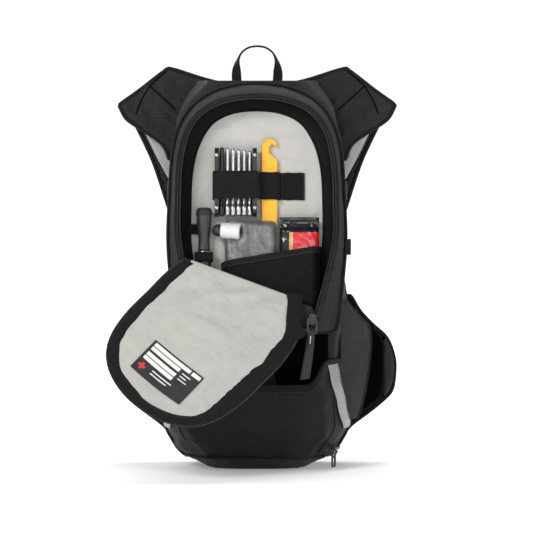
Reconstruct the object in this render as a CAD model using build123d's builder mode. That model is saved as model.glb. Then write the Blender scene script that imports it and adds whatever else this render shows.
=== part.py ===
from build123d import *
import os
from math import atan, cos, degrees, hypot, radians, sin

# Hydration pack with a clamshell tool organiser, standing on its base panel.
# Millimetres. +Z is up, -Y faces away from the wearer, +Y is the wearer's side, X = 0 is the
# plane of symmetry and the origin is the middle of the flat base on the floor.
os.makedirs("parts", exist_ok=True)

# ---------------------------------------------------------------- driving dimensions
FABRIC = 2.0  # thickness of a sewn fabric panel
GAP = 0.3  # clearance between neighbouring soft pieces
BACK_Y = 43.0  # plane where the compartment meets the back panel
BACK_PANEL = 6.0  # thickness of the foam back panel
ROOM = 400.0  # size of the blanks that are trimmed to an outline

# Compartment sections, height: (half width at the front, y of the front, half width at the back)
COMPARTMENT = {
    0: (50, -40, 60),
    14: (68, -51, 84),
    45: (78, -54, 104),
    100: (84, -54, 113),
    150: (88, -50, 105),
    190: (92, -46, 98),
    235: (95, -42, 95),
    293: (94, -34, 94),
    345: (91, -27, 92),
    385: (80, -20, 84),
    418: (50, -8, 60),
}
# Stash pocket sections, in the same form
STASH = {
    1: (48, -48, 62),
    14: (66, -66, 86),
    45: (84, -81, 102),
    93: (77, -88, 99),
    122: (72, -86, 96),
}
STASH_BACK_Y = -15.0
BASE_HEIGHT = 12.0  # the base panel wraps this far up the sides
FRONT_HALF = 70.0  # seams between the front panel and the side panels

# The organiser's mouth lies in one plane that leans back
MOUTH_BOTTOM_Z, MOUTH_BOTTOM_Y = 155.0, -92.0
MOUTH_LEAN = atan(40 / 245)
FRONT_BAND = 18.0  # how far the front band slopes back from the mouth
PIPE = 3.0
# Half arches, from the foot of the straight side up to the crown: (x, z)
OUTER_ARCH = [(84, 152), (93, 238), (92, 293), (89, 340), (81, 372), (64, 395), (36, 410), (0, 415)]
ZIP_ARCH = [(58, 155), (80, 238), (82, 290), (80, 330), (72, 364), (55, 386), (30, 398), (0, 402)]
LINING_ARCH = [(56, 160), (69, 238), (70, 290), (68, 325), (61, 352), (47, 374), (26, 385), (0, 388)]
ZIP_COIL = 1.6  # width of one row of zip coil
ZIP_PAIR = 3.6  # distance between the two sewn edges of the closed zip

# The flap folds about a slanting line in the mouth plane
FOLD_LEFT = (-84.0, 231.0)
FOLD_RIGHT = (56.0, 180.0)
FOLD_SEAM = 1.2  # distance from the fold line to each panel edge
FLAP_OPEN = 156.0  # angle of the flap in the stored, open pose
FLAP_RIM = 11.0  # width of the binding round the flap lining

HEM = 1.6
WEBBING = 1.8
STRAP = 9.0  # thickness of the padded harness strap
BUCKLE_TRAVEL = 42.0


# ---------------------------------------------------------------- helpers
def save(part, label):
    """Writes one named node."""
    part.label = label
    export_step(part, f"parts/{label}.step")


def save_pair(part, label):
    """Writes one node that holds a right-hand piece and its mirror image."""
    save(part + mirror(part, about=Plane.YZ), label)


def stack(sections, back_y, grow=0.0, lift=0.0):
    """Body lofted through rounded trapezoids. Its sides stand out by grow and its ends by lift."""
    heights = list(sections)
    with BuildPart() as body:
        for height, (front_half, front_y, back_half) in sections.items():
            end = -lift if height == heights[0] else lift if height == heights[-1] else 0
            with BuildSketch(Plane.XY.offset(height + end)):
                with BuildLine():
                    Polyline(
                        (-front_half - grow, front_y - grow),
                        (front_half + grow, front_y - grow),
                        (back_half + grow, back_y),
                        (-back_half - grow, back_y),
                        close=True,
                    )
                make_face()
                fillet(vertices().group_by(Axis.Y)[0], 14 + grow)
        loft(ruled=True)
    return body.part


mouth = Plane(
    origin=(0, MOUTH_BOTTOM_Y, MOUTH_BOTTOM_Z),
    x_dir=(1, 0, 0),
    z_dir=(0, -cos(MOUTH_LEAN), sin(MOUTH_LEAN)),
)


def up(z):
    """Distance up the mouth plane of a point at height z."""
    return (z - MOUTH_BOTTOM_Z) / cos(MOUTH_LEAN)


def arch_points(half, grow):
    """Full arch, foot to foot, with every point moved outwards by grow."""
    right = [(x, up(z)) for x, z in half]
    full = right + [(-x, v) for x, v in reversed(right[:-1])]
    last = len(full) - 1
    moved = []
    for i, (x, v) in enumerate(full):
        ax, av = full[max(i - 1, 0)]
        bx, bv = full[min(i + 1, last)]
        length = hypot(bx - ax, bv - av)
        drop = grow if i in (0, last) else 0
        moved.append((x + grow * (bv - av) / length, v - grow * (bx - ax) / length - drop))
    return moved


def arch_face(half, grow=0.0):
    """Flat face of an arch, for use on planes parallel to the mouth."""
    points = arch_points(half, grow)
    rise = (points[1][0] - points[0][0], points[1][1] - points[0][1])
    with BuildSketch() as arch:
        with BuildLine():
            Polyline(points[-2], points[-1], points[0], points[1])
            Spline(*points[1:-1], tangents=(rise, (rise[0], -rise[1])))
        make_face()
    return arch.sketch


def arch_prism(half, grow, near, far):
    """Prism of an arch between two depths, measured outwards from the mouth plane."""
    face = arch_face(half, grow)
    with BuildPart() as prism:
        with BuildSketch(mouth.offset(near)):
            add(face)
        extrude(amount=far - near)
    return prism.part


def front_outline(points, y_from, y_to, smooth=True):
    """Prism along Y of a closed outline given by (x, z) points."""
    with BuildPart() as prism:
        with BuildSketch(Plane.XZ.offset(-y_to)):
            with BuildLine():
                if smooth:
                    Spline(*points, periodic=True)
                else:
                    Polyline(*points, close=True)
            make_face()
        extrude(amount=y_to - y_from)
    return prism.part


compartment = stack(COMPARTMENT, BACK_Y)
compartment_clear = stack(COMPARTMENT, BACK_Y + 1, GAP, GAP)


# ---------------------------------------------------------------- main compartment
def compartment_walls():
    """The sewn fabric of the compartment, open at the back."""
    with BuildPart() as walls:
        add(compartment)
        add(stack(COMPARTMENT, BACK_Y + 20, -FABRIC, -FABRIC), mode=Mode.SUBTRACT)
    return walls.part


walls = compartment_walls()

with BuildPart() as base_panel:
    add(walls)
    split(bisect_by=Plane.XY.offset(BASE_HEIGHT), keep=Keep.BOTTOM)
save(base_panel.part, "base_panel")

with BuildPart() as front_panel:
    add(walls)
    split(bisect_by=Plane.XY.offset(BASE_HEIGHT), keep=Keep.TOP)
    split(bisect_by=Plane.YZ.offset(FRONT_HALF), keep=Keep.BOTTOM)
    split(bisect_by=Plane.YZ.offset(-FRONT_HALF), keep=Keep.TOP)
save(front_panel.part, "compartment_front_panel")

with BuildPart() as side_panel:
    add(walls)
    split(bisect_by=Plane.XY.offset(BASE_HEIGHT), keep=Keep.TOP)
    split(bisect_by=Plane.YZ.offset(FRONT_HALF), keep=Keep.TOP)
save_pair(side_panel.part, "compartment_side_panels")


# ---------------------------------------------------------------- organiser pocket
def organiser_blank(grow):
    """Outside of the organiser: an arch prism with a band that slopes in to the zip."""
    outer = arch_face(OUTER_ARCH, grow)
    rim = arch_face(ZIP_ARCH, FABRIC + grow)
    with BuildPart() as blank:
        with BuildSketch(mouth.offset(-FRONT_BAND)):
            add(outer)
        extrude(amount=-50)
        with BuildSketch(mouth.offset(-FRONT_BAND)):
            add(outer)
        with BuildSketch(mouth):
            add(rim)
        loft(ruled=True)
    return blank.part


outer_skin = organiser_blank(0)
inner_skin = organiser_blank(-FABRIC)

with BuildPart() as organiser_gusset:
    add(outer_skin)
    add(inner_skin, mode=Mode.SUBTRACT)
    add(compartment_clear, mode=Mode.SUBTRACT)
    split(bisect_by=mouth.offset(-FRONT_BAND), keep=Keep.BOTTOM)
save(organiser_gusset.part, "organiser_gusset")

with BuildPart() as organiser_band:
    add(outer_skin)
    add(inner_skin, mode=Mode.SUBTRACT)
    split(bisect_by=mouth.offset(-FRONT_BAND), keep=Keep.TOP)
save(organiser_band.part, "organiser_front_band")

with BuildPart() as organiser_piping:
    add(arch_prism(OUTER_ARCH, PIPE, -FRONT_BAND - PIPE, -FRONT_BAND))
    add(arch_prism(OUTER_ARCH, GAP, -FRONT_BAND - 2 * PIPE, PIPE), mode=Mode.SUBTRACT)
save(organiser_piping.part, "organiser_piping")

with BuildPart() as organiser_zip:
    add(arch_prism(ZIP_ARCH, -GAP / 3, -FABRIC, 0))
    add(arch_prism(ZIP_ARCH, -ZIP_COIL, -2 * FABRIC, FABRIC), mode=Mode.SUBTRACT)
save(organiser_zip.part, "organiser_zip_coil")

with BuildPart() as organiser_lining:
    add(arch_prism(OUTER_ARCH, -FABRIC - GAP, -60, -10))
    add(stack(COMPARTMENT, BACK_Y, GAP + HEM), mode=Mode.INTERSECT)
    add(compartment_clear, mode=Mode.SUBTRACT)
save(organiser_lining.part, "organiser_lining")

with BuildPart() as organiser_flange:
    add(arch_prism(OUTER_ARCH, -FABRIC - GAP, -60, -10))
    add(stack(COMPARTMENT, BACK_Y, 2 * (GAP + HEM)), mode=Mode.INTERSECT)
    add(stack(COMPARTMENT, BACK_Y, 2 * GAP + HEM, GAP), mode=Mode.SUBTRACT)
    add(arch_prism(LINING_ARCH, 0, -70, 0), mode=Mode.SUBTRACT)
save(organiser_flange.part, "organiser_inner_binding")


# ---------------------------------------------------------------- stash pocket
stash_outer = stack(STASH, STASH_BACK_Y)
stash_inner = stack(STASH, STASH_BACK_Y + 1, -FABRIC, -FABRIC)
stash_mouth = front_outline([(-82, 130), (-60, 93), (60, 93), (82, 130)], -ROOM, ROOM, smooth=False)
# The pocket clears the floor of its own cavity down to the seam with the base
stash_cavity_top = front_outline([(-130, 118), (130, 118), (130, 160), (-130, 160)], -ROOM, ROOM, smooth=False)

with BuildPart() as stash_pocket:
    add(stash_outer)
    add(stash_inner, mode=Mode.SUBTRACT)
    add(compartment_clear, mode=Mode.SUBTRACT)
    add(stash_mouth, mode=Mode.SUBTRACT)
    add(stash_cavity_top, mode=Mode.SUBTRACT)
save(stash_pocket.part, "stash_pocket")

lip_skin = stack(STASH, STASH_BACK_Y, HEM)
lip_outline = [(-81, 130), (-60, 93), (60, 93), (81, 130), (88, 130), (63, 87), (-63, 87), (-88, 130)]
lip_low = front_outline(lip_outline, -ROOM, -60, smooth=False)
with BuildPart() as stash_binding:
    add(lip_skin)
    add(lip_low, mode=Mode.INTERSECT)
    add(stash_outer, mode=Mode.SUBTRACT)

stash_skin = stack(STASH, STASH_BACK_Y, 0.8)
reflector_cut = front_outline([(75, 113), (83, 113), (104, 46), (98, 41), (94, 46)], -ROOM, ROOM, smooth=False)
with BuildPart() as lower_reflector:
    add(stash_skin)
    add(reflector_cut, mode=Mode.INTERSECT)
    add(stash_outer, mode=Mode.SUBTRACT)
    add(stash_binding.part, mode=Mode.SUBTRACT)
    split(bisect_by=Plane.YZ, keep=Keep.TOP)
save_pair(lower_reflector.part, "lower_reflectors")


# ---------------------------------------------------------------- back panel and yoke
def spread(points, amount):
    """Closed outline moved outwards along its normals; the points run anticlockwise."""
    moved = []
    for i, (x, z) in enumerate(points):
        ax, az = points[i - 1]
        bx, bz = points[(i + 1) % len(points)]
        length = hypot(bx - ax, bz - az)
        moved.append((x + amount * (bz - az) / length, z - amount * (bx - ax) / length))
    return moved


def both_sides(right):
    """Symmetric outline from its right half, listed from the bottom up."""
    return right + [(-x, z) for x, z in reversed(right)]


BACK_FRONT_Y = BACK_Y + GAP
BACK_REAR_Y = BACK_FRONT_Y + BACK_PANEL
YOKE_SEAM = 330.0
BACK_OUTLINE = both_sides([(56, 3), (84, 12), (106, 44), (115, 100), (108, 150), (100, 195), (97, 240), (97, 330)])
YOKE_OUTLINE = both_sides([(96, 330.5), (103, 347), (122, 361), (141, 374), (149, 391), (128, 408), (101, 429), (92, 432), (50, 419), (14, 412.5)])

with BuildPart() as back_panel:
    add(front_outline(BACK_OUTLINE, BACK_FRONT_Y, BACK_REAR_Y, smooth=False))
    fillet(edges().group_by(Axis.Y)[-1], 2)
save(back_panel.part, "back_panel")

yoke_core = front_outline(spread(YOKE_OUTLINE, -5), BACK_FRONT_Y, BACK_REAR_Y, smooth=False)
yoke_whole = front_outline(YOKE_OUTLINE, BACK_FRONT_Y, BACK_REAR_Y, smooth=False)
save(yoke_core, "shoulder_yoke")

with BuildPart() as yoke_binding:
    add(yoke_whole)
    add(yoke_core, mode=Mode.SUBTRACT)

with BuildPart() as frame_sheet:
    add(front_outline(both_sides([(60, 20), (74, 60), (78, 300), (60, 370)]), BACK_Y - 3, BACK_Y - 1.5, smooth=False))
    fillet(edges().filter_by(Axis.Y), 12)
save(frame_sheet.part, "frame_sheet")

with BuildPart() as spacer_pads:
    with BuildSketch(Plane.XZ.offset(-BACK_REAR_Y)):
        with Locations((-46, 90), (46, 90), (-44, 185), (44, 185), (0, 285)):
            RectangleRounded(58, 76, 14)
    extrude(amount=-5)
    fillet(faces().sort_by(Axis.Y)[-5:].edges(), 2.5)
save(spacer_pads.part, "back_spacer_pads")


# ---------------------------------------------------------------- hip wings and side pockets
WING_OUTLINE = [(85, 27), (104, 43), (124, 58), (138, 70), (147, 80), (150.5, 98), (150, 115), (142, 137),
                (127, 152), (113, 167), (98, 186), (90, 120)]
back_clear = front_outline(spread(BACK_OUTLINE, GAP), BACK_Y - 20, BACK_REAR_Y + 20, smooth=False)
wing_core_outline = spread(WING_OUTLINE, -4.5)

with BuildPart() as wing:
    add(front_outline(wing_core_outline, BACK_FRONT_Y, BACK_REAR_Y + 1, smooth=False))
    add(back_clear, mode=Mode.SUBTRACT)
save_pair(wing.part, "hip_wings")

with BuildPart() as wing_binding:
    add(front_outline(WING_OUTLINE, BACK_FRONT_Y, BACK_REAR_Y + 1, smooth=False))
    add(front_outline(wing_core_outline, BACK_FRONT_Y - 1, BACK_REAR_Y + 2, smooth=False), mode=Mode.SUBTRACT)
    add(back_clear, mode=Mode.SUBTRACT)
save(yoke_binding.part + wing_binding.part + mirror(wing_binding.part, about=Plane.YZ), "panel_edge_binding")

side_plane = Plane(origin=(105.5, -10, 0), x_dir=(27, 44, 0), z_dir=(44, -27, 0))
with BuildPart() as side_pocket:
    with BuildSketch(side_plane):
        with BuildLine():
            Polyline((0, 52), (50, 62), (52, 132), (0, 146), close=True)
        make_face()
        fillet(vertices(), 6)
    extrude(amount=1.5)
save_pair(side_pocket.part, "side_mesh_pockets")


# ---------------------------------------------------------------- harness
STRAP_FRONT_Y = BACK_REAR_Y + 5 + 2 * GAP
STRAP_OUTLINE = [(50, 400), (58, 350), (56, 300), (62, 262), (74, 246), (88, 248), (96, 268), (113, 320),
                 (125, 348), (137, 372), (146, 390), (128, 406), (101, 426), (72, 424)]
strap_core_outline = spread(STRAP_OUTLINE, -4.5)

with BuildPart() as strap_pad:
    add(front_outline(strap_core_outline, STRAP_FRONT_Y, STRAP_FRONT_Y + STRAP))
save_pair(strap_pad.part, "harness_strap_pads")

with BuildPart() as strap_binding:
    add(front_outline(STRAP_OUTLINE, STRAP_FRONT_Y + 2, STRAP_FRONT_Y + STRAP - 2))
    add(front_outline(strap_core_outline, STRAP_FRONT_Y, STRAP_FRONT_Y + STRAP), mode=Mode.SUBTRACT)
save_pair(strap_binding.part, "harness_strap_binding")

reflector_outline = [(118, 352), (106, 334), (101, 318), (101, 306), (105, 308), (113, 326)]
upper_reflector = front_outline(reflector_outline, STRAP_FRONT_Y - 0.8, STRAP_FRONT_Y, smooth=False)
save_pair(upper_reflector, "upper_reflectors")


with BuildPart() as ladder_lock:
    with BuildSketch(Plane.XZ.offset(-STRAP_FRONT_Y - 2.5)):
        with Locations((81, 234)):
            RectangleRounded(27, 21, 3)
            with Locations((0, -5.5), (0, 4.5)):
                RectangleRounded(21, 5, 1.5, mode=Mode.SUBTRACT)
    extrude(amount=-4)
save_pair(ladder_lock.part, "ladder_locks")

webbing_run = [(71, 221), (91, 221), (104, 64), (84, 64)]
harness_webbing = front_outline(webbing_run, STRAP_FRONT_Y + 2.5, STRAP_FRONT_Y + 2.5 + WEBBING, smooth=False)
save_pair(harness_webbing, "harness_webbing")

with BuildPart() as webbing_anchor:
    with BuildSketch(Plane.XZ.offset(-BACK_REAR_Y)):
        with Locations((94, 54)):
            RectangleRounded(24, 19, 3)
    extrude(amount=-(STRAP_FRONT_Y + 2.5 + WEBBING - BACK_REAR_Y))
save_pair(webbing_anchor.part, "webbing_anchors")

CHEST_Z = 330.0
CHEST_Y = STRAP_FRONT_Y + STRAP + 0.6  # front face of the chest buckle

with BuildPart() as buckle_socket:
    with BuildSketch(Plane.XZ.offset(-CHEST_Y)):
        with Locations((13, CHEST_Z)):
            RectangleRounded(26, 25, 4)
    extrude(amount=-9)
    fillet(edges().group_by(Axis.Y)[-1], 1.5)
    with BuildSketch(Plane.YZ):
        with Locations((CHEST_Y + 4.5, CHEST_Z)):
            Rectangle(5, 19)
    extrude(amount=20, mode=Mode.SUBTRACT)
save(buckle_socket.part, "chest_buckle_socket")

with BuildPart() as buckle_plug:
    with BuildSketch(Plane.XZ.offset(-CHEST_Y)):
        with Locations((-8, CHEST_Z)):
            RectangleRounded(14, 25, 4)
    extrude(amount=-9)
    with BuildSketch(Plane.YZ.offset(-2)):
        with Locations((CHEST_Y + 4.5, CHEST_Z - 7), (CHEST_Y + 4.5, CHEST_Z), (CHEST_Y + 4.5, CHEST_Z + 7)):
            Rectangle(3.4, 3.4)
    extrude(amount=17)
save(buckle_plug.part, "chest_buckle_plug")

CHEST_WEB_Y = CHEST_Y + 3.6
chest_run = [(26.3, CHEST_Z - 10), (100, CHEST_Z - 10), (100, CHEST_Z + 10), (26.3, CHEST_Z + 10)]
chest_webbing = front_outline(chest_run, CHEST_WEB_Y, CHEST_WEB_Y + WEBBING, smooth=False)
save(chest_webbing, "chest_webbing_right")
plug_run = [(-100, CHEST_Z - 10), (-15.3, CHEST_Z - 10), (-15.3, CHEST_Z + 10), (-100, CHEST_Z + 10)]
save(front_outline(plug_run, CHEST_WEB_Y, CHEST_WEB_Y + WEBBING, smooth=False), "chest_webbing_left")

with BuildPart() as chest_keeper:
    with BuildSketch(Plane.YZ.offset(80)):
        with Locations((CHEST_WEB_Y + WEBBING / 2, CHEST_Z)):
            Rectangle(WEBBING + 5.6, 25)
            Rectangle(WEBBING + 1.2, 21, mode=Mode.SUBTRACT)
    extrude(amount=8)
save_pair(chest_keeper.part, "chest_strap_keepers")

with BuildPart() as grab_loop:
    with BuildSketch(Plane.XZ.offset(-BACK_REAR_Y - 0.7)):
        with BuildLine():
            Polyline((-27, 428), (-27, 400), (27, 400), (27, 428))
            ThreePointArc((27, 428), (0, 455), (-27, 428))
        make_face()
        with BuildLine():
            Polyline((-16, 428), (-16, 400), (16, 400), (16, 428))
            ThreePointArc((16, 428), (0, 444), (-16, 428))
        make_face(mode=Mode.SUBTRACT)
    extrude(amount=-WEBBING)
save(grab_loop.part, "grab_loop")

with BuildPart() as side_tag:
    with BuildSketch(Plane.XY.offset(230)):
        with Locations((96.9, -50)):
            RectangleRounded(6, 2.4, 1)
    extrude(amount=17)
save(side_tag.part, "side_tag")


# ---------------------------------------------------------------- flap, built closed and folded open
fold_start = mouth.from_local_coords((FOLD_LEFT[0], up(FOLD_LEFT[1]), 0))
fold_end = mouth.from_local_coords((FOLD_RIGHT[0], up(FOLD_RIGHT[1]), 0))
fold_axis = Axis(fold_start, fold_end - fold_start)
fold_up = mouth.z_dir.cross(fold_axis.direction)
fold_edge = Plane(origin=fold_start + fold_up * FOLD_SEAM, x_dir=fold_axis.direction, z_dir=fold_up)
below_edge = Plane(origin=fold_start - fold_up * FOLD_SEAM, x_dir=fold_axis.direction, z_dir=fold_up)

with BuildPart() as lower_panel:
    add(arch_prism(ZIP_ARCH, -ZIP_COIL - 0.1, -FABRIC, 0))
    split(bisect_by=below_edge, keep=Keep.BOTTOM)
save(lower_panel.part, "organiser_lower_panel")

# The corner beside the slider is cut back so that the slider can pass the folded flap
with BuildPart() as corner_wedge:
    with BuildSketch(mouth.offset(20)):
        with BuildLine():
            Polyline((49, up(177)), (80, up(165)), (80, up(210)), (64, up(203)), close=True)
        make_face()
    extrude(amount=-40)


def flap_piece(grow_out, grow_in, near, far, seam=0.0):
    """Layer of the flap between two insets of the zip arch and two depths, in the open pose."""
    outer = arch_prism(ZIP_ARCH, grow_out, near, far)
    inner = arch_prism(ZIP_ARCH, grow_in, near - 1, far + 1) if grow_in is not None else None
    edge = Plane(origin=fold_edge.origin + fold_up * seam, x_dir=fold_edge.x_dir, z_dir=fold_up)
    with BuildPart() as layer:
        add(outer)
        if inner is not None:
            add(inner, mode=Mode.SUBTRACT)
        split(bisect_by=edge, keep=Keep.TOP)
        add(corner_wedge.part, mode=Mode.SUBTRACT)
    return layer.part.rotate(fold_axis, FLAP_OPEN)


save(flap_piece(-ZIP_PAIR + ZIP_COIL, -ZIP_PAIR, -FABRIC, 0), "flap_zip_coil")
save(flap_piece(-ZIP_PAIR, None, -FABRIC, 0), "flap_panel")
save(flap_piece(-ZIP_PAIR, -ZIP_PAIR - FLAP_RIM, -FABRIC - 2, -FABRIC), "flap_rim_binding")
save(flap_piece(-ZIP_PAIR - FLAP_RIM, None, -FABRIC - HEM, -FABRIC, 3), "flap_lining")

with BuildPart() as label_card:
    with BuildSketch(mouth.offset(-FABRIC - HEM)):
        with Locations((-1.5, up(356.5))):
            RectangleRounded(67, 46, 2)
    extrude(amount=-0.6)
save(label_card.part.rotate(fold_axis, FLAP_OPEN), "label_card")



# ---------------------------------------------------------------- zip sliders and pulls
def zip_slider(place, width, length):
    """Slider body lying on a plane, with a bridge along the plane's y direction."""
    with BuildPart() as slider:
        with BuildSketch(place.offset(GAP)):
            RectangleRounded(width, length, 2.5)
        extrude(amount=3)
        fillet(faces().sort_by(SortBy.AREA)[-1].edges(), 0.8)
        with BuildSketch(place.offset(GAP + 2)):
            RectangleRounded(2.6, 9, 1)
        extrude(amount=5.6)
        with BuildSketch(Plane(origin=place.origin, x_dir=place.y_dir, z_dir=place.x_dir).offset(-4)):
            with Locations((0, PULL_AXIS)):
                Rectangle(5, 3.3)
        extrude(amount=8, mode=Mode.SUBTRACT)
    return slider.part


def pull_ring(place, length):
    """Wire ring hanging from the bridge along the plane's -y direction."""
    with BuildPart() as ring:
        with BuildSketch(place.offset(PULL_AXIS - 0.9)):
            with Locations((0, 0.9 - length / 2)):
                RectangleRounded(10.8, length, 2.5)
                RectangleRounded(7.2, length - 3.6, 1.5, mode=Mode.SUBTRACT)
        extrude(amount=1.8)
    return ring.part


PULL_AXIS = GAP + 4.65  # height of the pull's hinge above the fabric
ZIP_SLOPE = (22, up(238) - up(155))
TRACK_START = 8.5  # height of the parked slider above the foot of the straight side
along = Vector(*ZIP_SLOPE).normalized()
track_x = 58 + TRACK_START * along.X / along.Y - ZIP_PAIR / 2
track_v = up(155) + TRACK_START
track_origin = mouth.from_local_coords((track_x, track_v, 0))
track_dir = mouth.from_local_coords((track_x + along.X, track_v + along.Y, 0)) - track_origin
main_track = Plane(origin=track_origin, x_dir=track_dir.cross(mouth.z_dir), z_dir=mouth.z_dir)
main_hang = Plane(origin=track_origin, x_dir=(1, 0, 0), z_dir=mouth.z_dir)
save(zip_slider(main_track, 8, 12.5), "main_zip_slider")
main_ring = pull_ring(main_hang, 17)
save(main_ring, "main_zip_pull_ring")

with BuildPart() as pull_tab:
    with BuildSketch(main_hang.offset(PULL_AXIS - 1.9)):
        with Locations((0, -38)):
            RectangleRounded(10.6, 52, 3)
    extrude(amount=3.8)
    add(main_ring, mode=Mode.SUBTRACT)
    fillet(faces().filter_by(GeomType.PLANE).sort_by(SortBy.AREA)[-2:].edges(), 0.3)
save(pull_tab.part, "main_zip_pull_tab")

BASE_ZIP_Z = 22.0
base_dir = Vector(19.5, 54.9, 0).normalized()
base_normal = Vector(0.817, -0.290, -0.499).normalized()
base_point = Vector(70.6, -69.9, BASE_ZIP_Z)
base_coil_plane = Plane(origin=base_point + base_dir * 30 + base_normal * 0.4, x_dir=base_dir, z_dir=base_normal)
with BuildPart() as base_coil:
    with BuildSketch(base_coil_plane):
        RectangleRounded(42, 3.4, 1)
    extrude(amount=1.3)
save(base_coil.part, "base_zip_coil")

base_track = Plane(origin=base_point + base_dir * 17 + base_normal * 1.9, x_dir=base_dir, z_dir=base_normal)
save(zip_slider(base_track, 12, 8), "base_zip_slider")
base_pivot = base_track.from_local_coords((0, 0, PULL_AXIS))
base_hang = Plane(origin=base_pivot, x_dir=base_dir, z_dir=base_dir.cross(Vector(0, 0, 1)))
save(pull_ring(base_hang.offset(-PULL_AXIS), 16), "base_zip_pull")


# ---------------------------------------------------------------- tools in the organiser
LINING_LEAN = atan(0.1365)
TOOLS_Z = 235.0
tools = Plane(origin=(0, -44.2, TOOLS_Z), x_dir=(1, 0, 0), z_dir=(0, -cos(LINING_LEAN), sin(LINING_LEAN)))


def rise(z):
    """Distance up the lining of a point at height z."""
    return (z - TOOLS_Z) / cos(LINING_LEAN)


def tool_block(x_span, z_span, depth_span, radius):
    """Rounded block lying on the lining."""
    width = x_span[1] - x_span[0]
    height = rise(z_span[1]) - rise(z_span[0])
    with BuildPart() as block:
        with BuildSketch(tools.offset(depth_span[0])):
            with Locations((sum(x_span) / 2, (rise(z_span[0]) + rise(z_span[1])) / 2)):
                RectangleRounded(width, height, radius)
        extrude(amount=depth_span[1] - depth_span[0])
    return block.part


def tool_section(z):
    """Plane across the lining at height z: x across, y outwards from the lining."""
    return Plane(origin=tools.from_local_coords((0, rise(z), 0)), x_dir=(1, 0, 0), z_dir=-tools.y_dir)


# Elastic band with a loop for each tool
with BuildPart() as tool_band:
    with BuildSketch(tool_section(317)):
        with BuildLine():
            Polyline((-46.9, 0.2), (51, 0.2), (51, 1.6), (24.3, 1.6), (24.3, 7.6), (1.9, 7.6), (1.9, 20.6),
                     (-46.9, 20.6), close=True)
        make_face()
        with BuildLine():
            Polyline((-45.5, 0), (0.5, 0), (0.5, 19.2), (-45.5, 19.2), close=True)
        make_face(mode=Mode.SUBTRACT)
        with BuildLine():
            Polyline((3.7, 0), (22.9, 0), (22.9, 6.2), (3.7, 6.2), close=True)
        make_face(mode=Mode.SUBTRACT)
    extrude(amount=29.5)
save(tool_band.part, "tool_band")

# Folding multi-tool
MULTI_X, MULTI_Z = (-45.0, 0.0), (269.0, 343.0)
with BuildPart() as multi_plates:
    for start in (MULTI_X[0], MULTI_X[1] - 4.5):
        with BuildSketch(Plane(origin=tools.from_local_coords((start, rise(306), 9.6)), x_dir=tools.y_dir, z_dir=(1, 0, 0))):
            SlotOverall(74, 18)
        extrude(amount=4.5)
with BuildPart() as multi_axles:
    for z in (278, 334):
        with BuildSketch(Plane(origin=tools.from_local_coords((MULTI_X[0] + 4.6, rise(z), 9.6)), x_dir=tools.y_dir, z_dir=(1, 0, 0))):
            Circle(2.4)
        extrude(amount=MULTI_X[1] - MULTI_X[0] - 9.2)
with BuildPart() as multi_bits:
    for i in range(6):
        x = MULTI_X[0] + 7.5 + 6 * i
        boss_z = (278, 334)[i % 2]
        reach = 52 if boss_z == 278 else -52
        with BuildSketch(Plane(origin=tools.from_local_coords((x - 2.4, rise(boss_z), 9.6)), x_dir=tools.y_dir, z_dir=(1, 0, 0))):
            Circle(6.5)
            with Locations((reach / 2, 3.6 if i % 2 else -3.6)):
                Rectangle(abs(reach), 4.6)
        extrude(amount=4.8)
    add(multi_axles.part, mode=Mode.SUBTRACT)
save(multi_plates.part, "multi_tool_plates")
save(multi_axles.part, "multi_tool_axles")
save(multi_bits.part, "multi_tool_bits")

# Tyre lever with a hooked tip
lever_points = [(6.5, 236), (13, 233), (20, 236), (21.8, 262), (22, 330), (13.5, 338), (13, 344), (16, 347.5),
                (20.5, 344.5), (22, 347.5), (18.5, 352), (11, 353), (5.8, 347), (4.8, 335), (5, 262)]
with BuildPart() as lever:
    with BuildSketch(tools.offset(0.5)):
        with BuildLine():
            Polyline(*[(x, rise(z)) for x, z in lever_points], close=True)
        make_face()
        fillet(vertices().filter_by(lambda v: v.Y < rise(300)), 2.4)
    extrude(amount=5)
    chamfer(faces().sort_by(SortBy.AREA)[-1].edges(), 0.6)
    with BuildSketch(tools.offset(5)):
        with Locations((13.3, rise(325))):
            Circle(4.2)
    extrude(amount=1.6)
save(lever.part, "tyre_lever")

# Mini pump beside the tools
PUMP_X = -56.3
PUMP_W = 9.2
with BuildPart() as pump_barrel:
    with BuildSketch(tool_section(232)):
        with Locations((PUMP_X, PUMP_W)):
            Circle(7.8)
    extrude(amount=58)
with BuildPart() as pump_handle:
    with BuildSketch(tool_section(174)):
        with Locations((PUMP_X, PUMP_W)):
            Circle(7.8)
    extrude(amount=9)
    fillet(edges().filter_by(GeomType.CIRCLE).sort_by(Axis.Z)[0], 2)
save(pump_barrel.part, "pump_barrel")
save(pump_handle.part, "pump_handle")
pump_head_block = tool_block((PUMP_X - 8.2, PUMP_X + 8.2), (233, 279), (1, 17.4), 4)
with BuildPart() as pump_head:
    add(pump_head_block)
    fillet(edges().filter_by(lambda e: abs(e.center().X - PUMP_X) < 9).group_by(Axis.Y)[0], 1.5)
save(pump_head.part, "pump_head")

with BuildPart() as pump_loop:
    with BuildSketch(tool_section(231.6)):
        with Locations((PUMP_X, PUMP_W)):
            Rectangle(18.6, 18.4)
            Rectangle(16.4, 16.2, mode=Mode.SUBTRACT)
    extrude(amount=10)
save(pump_loop.part, "pump_loop")

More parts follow.
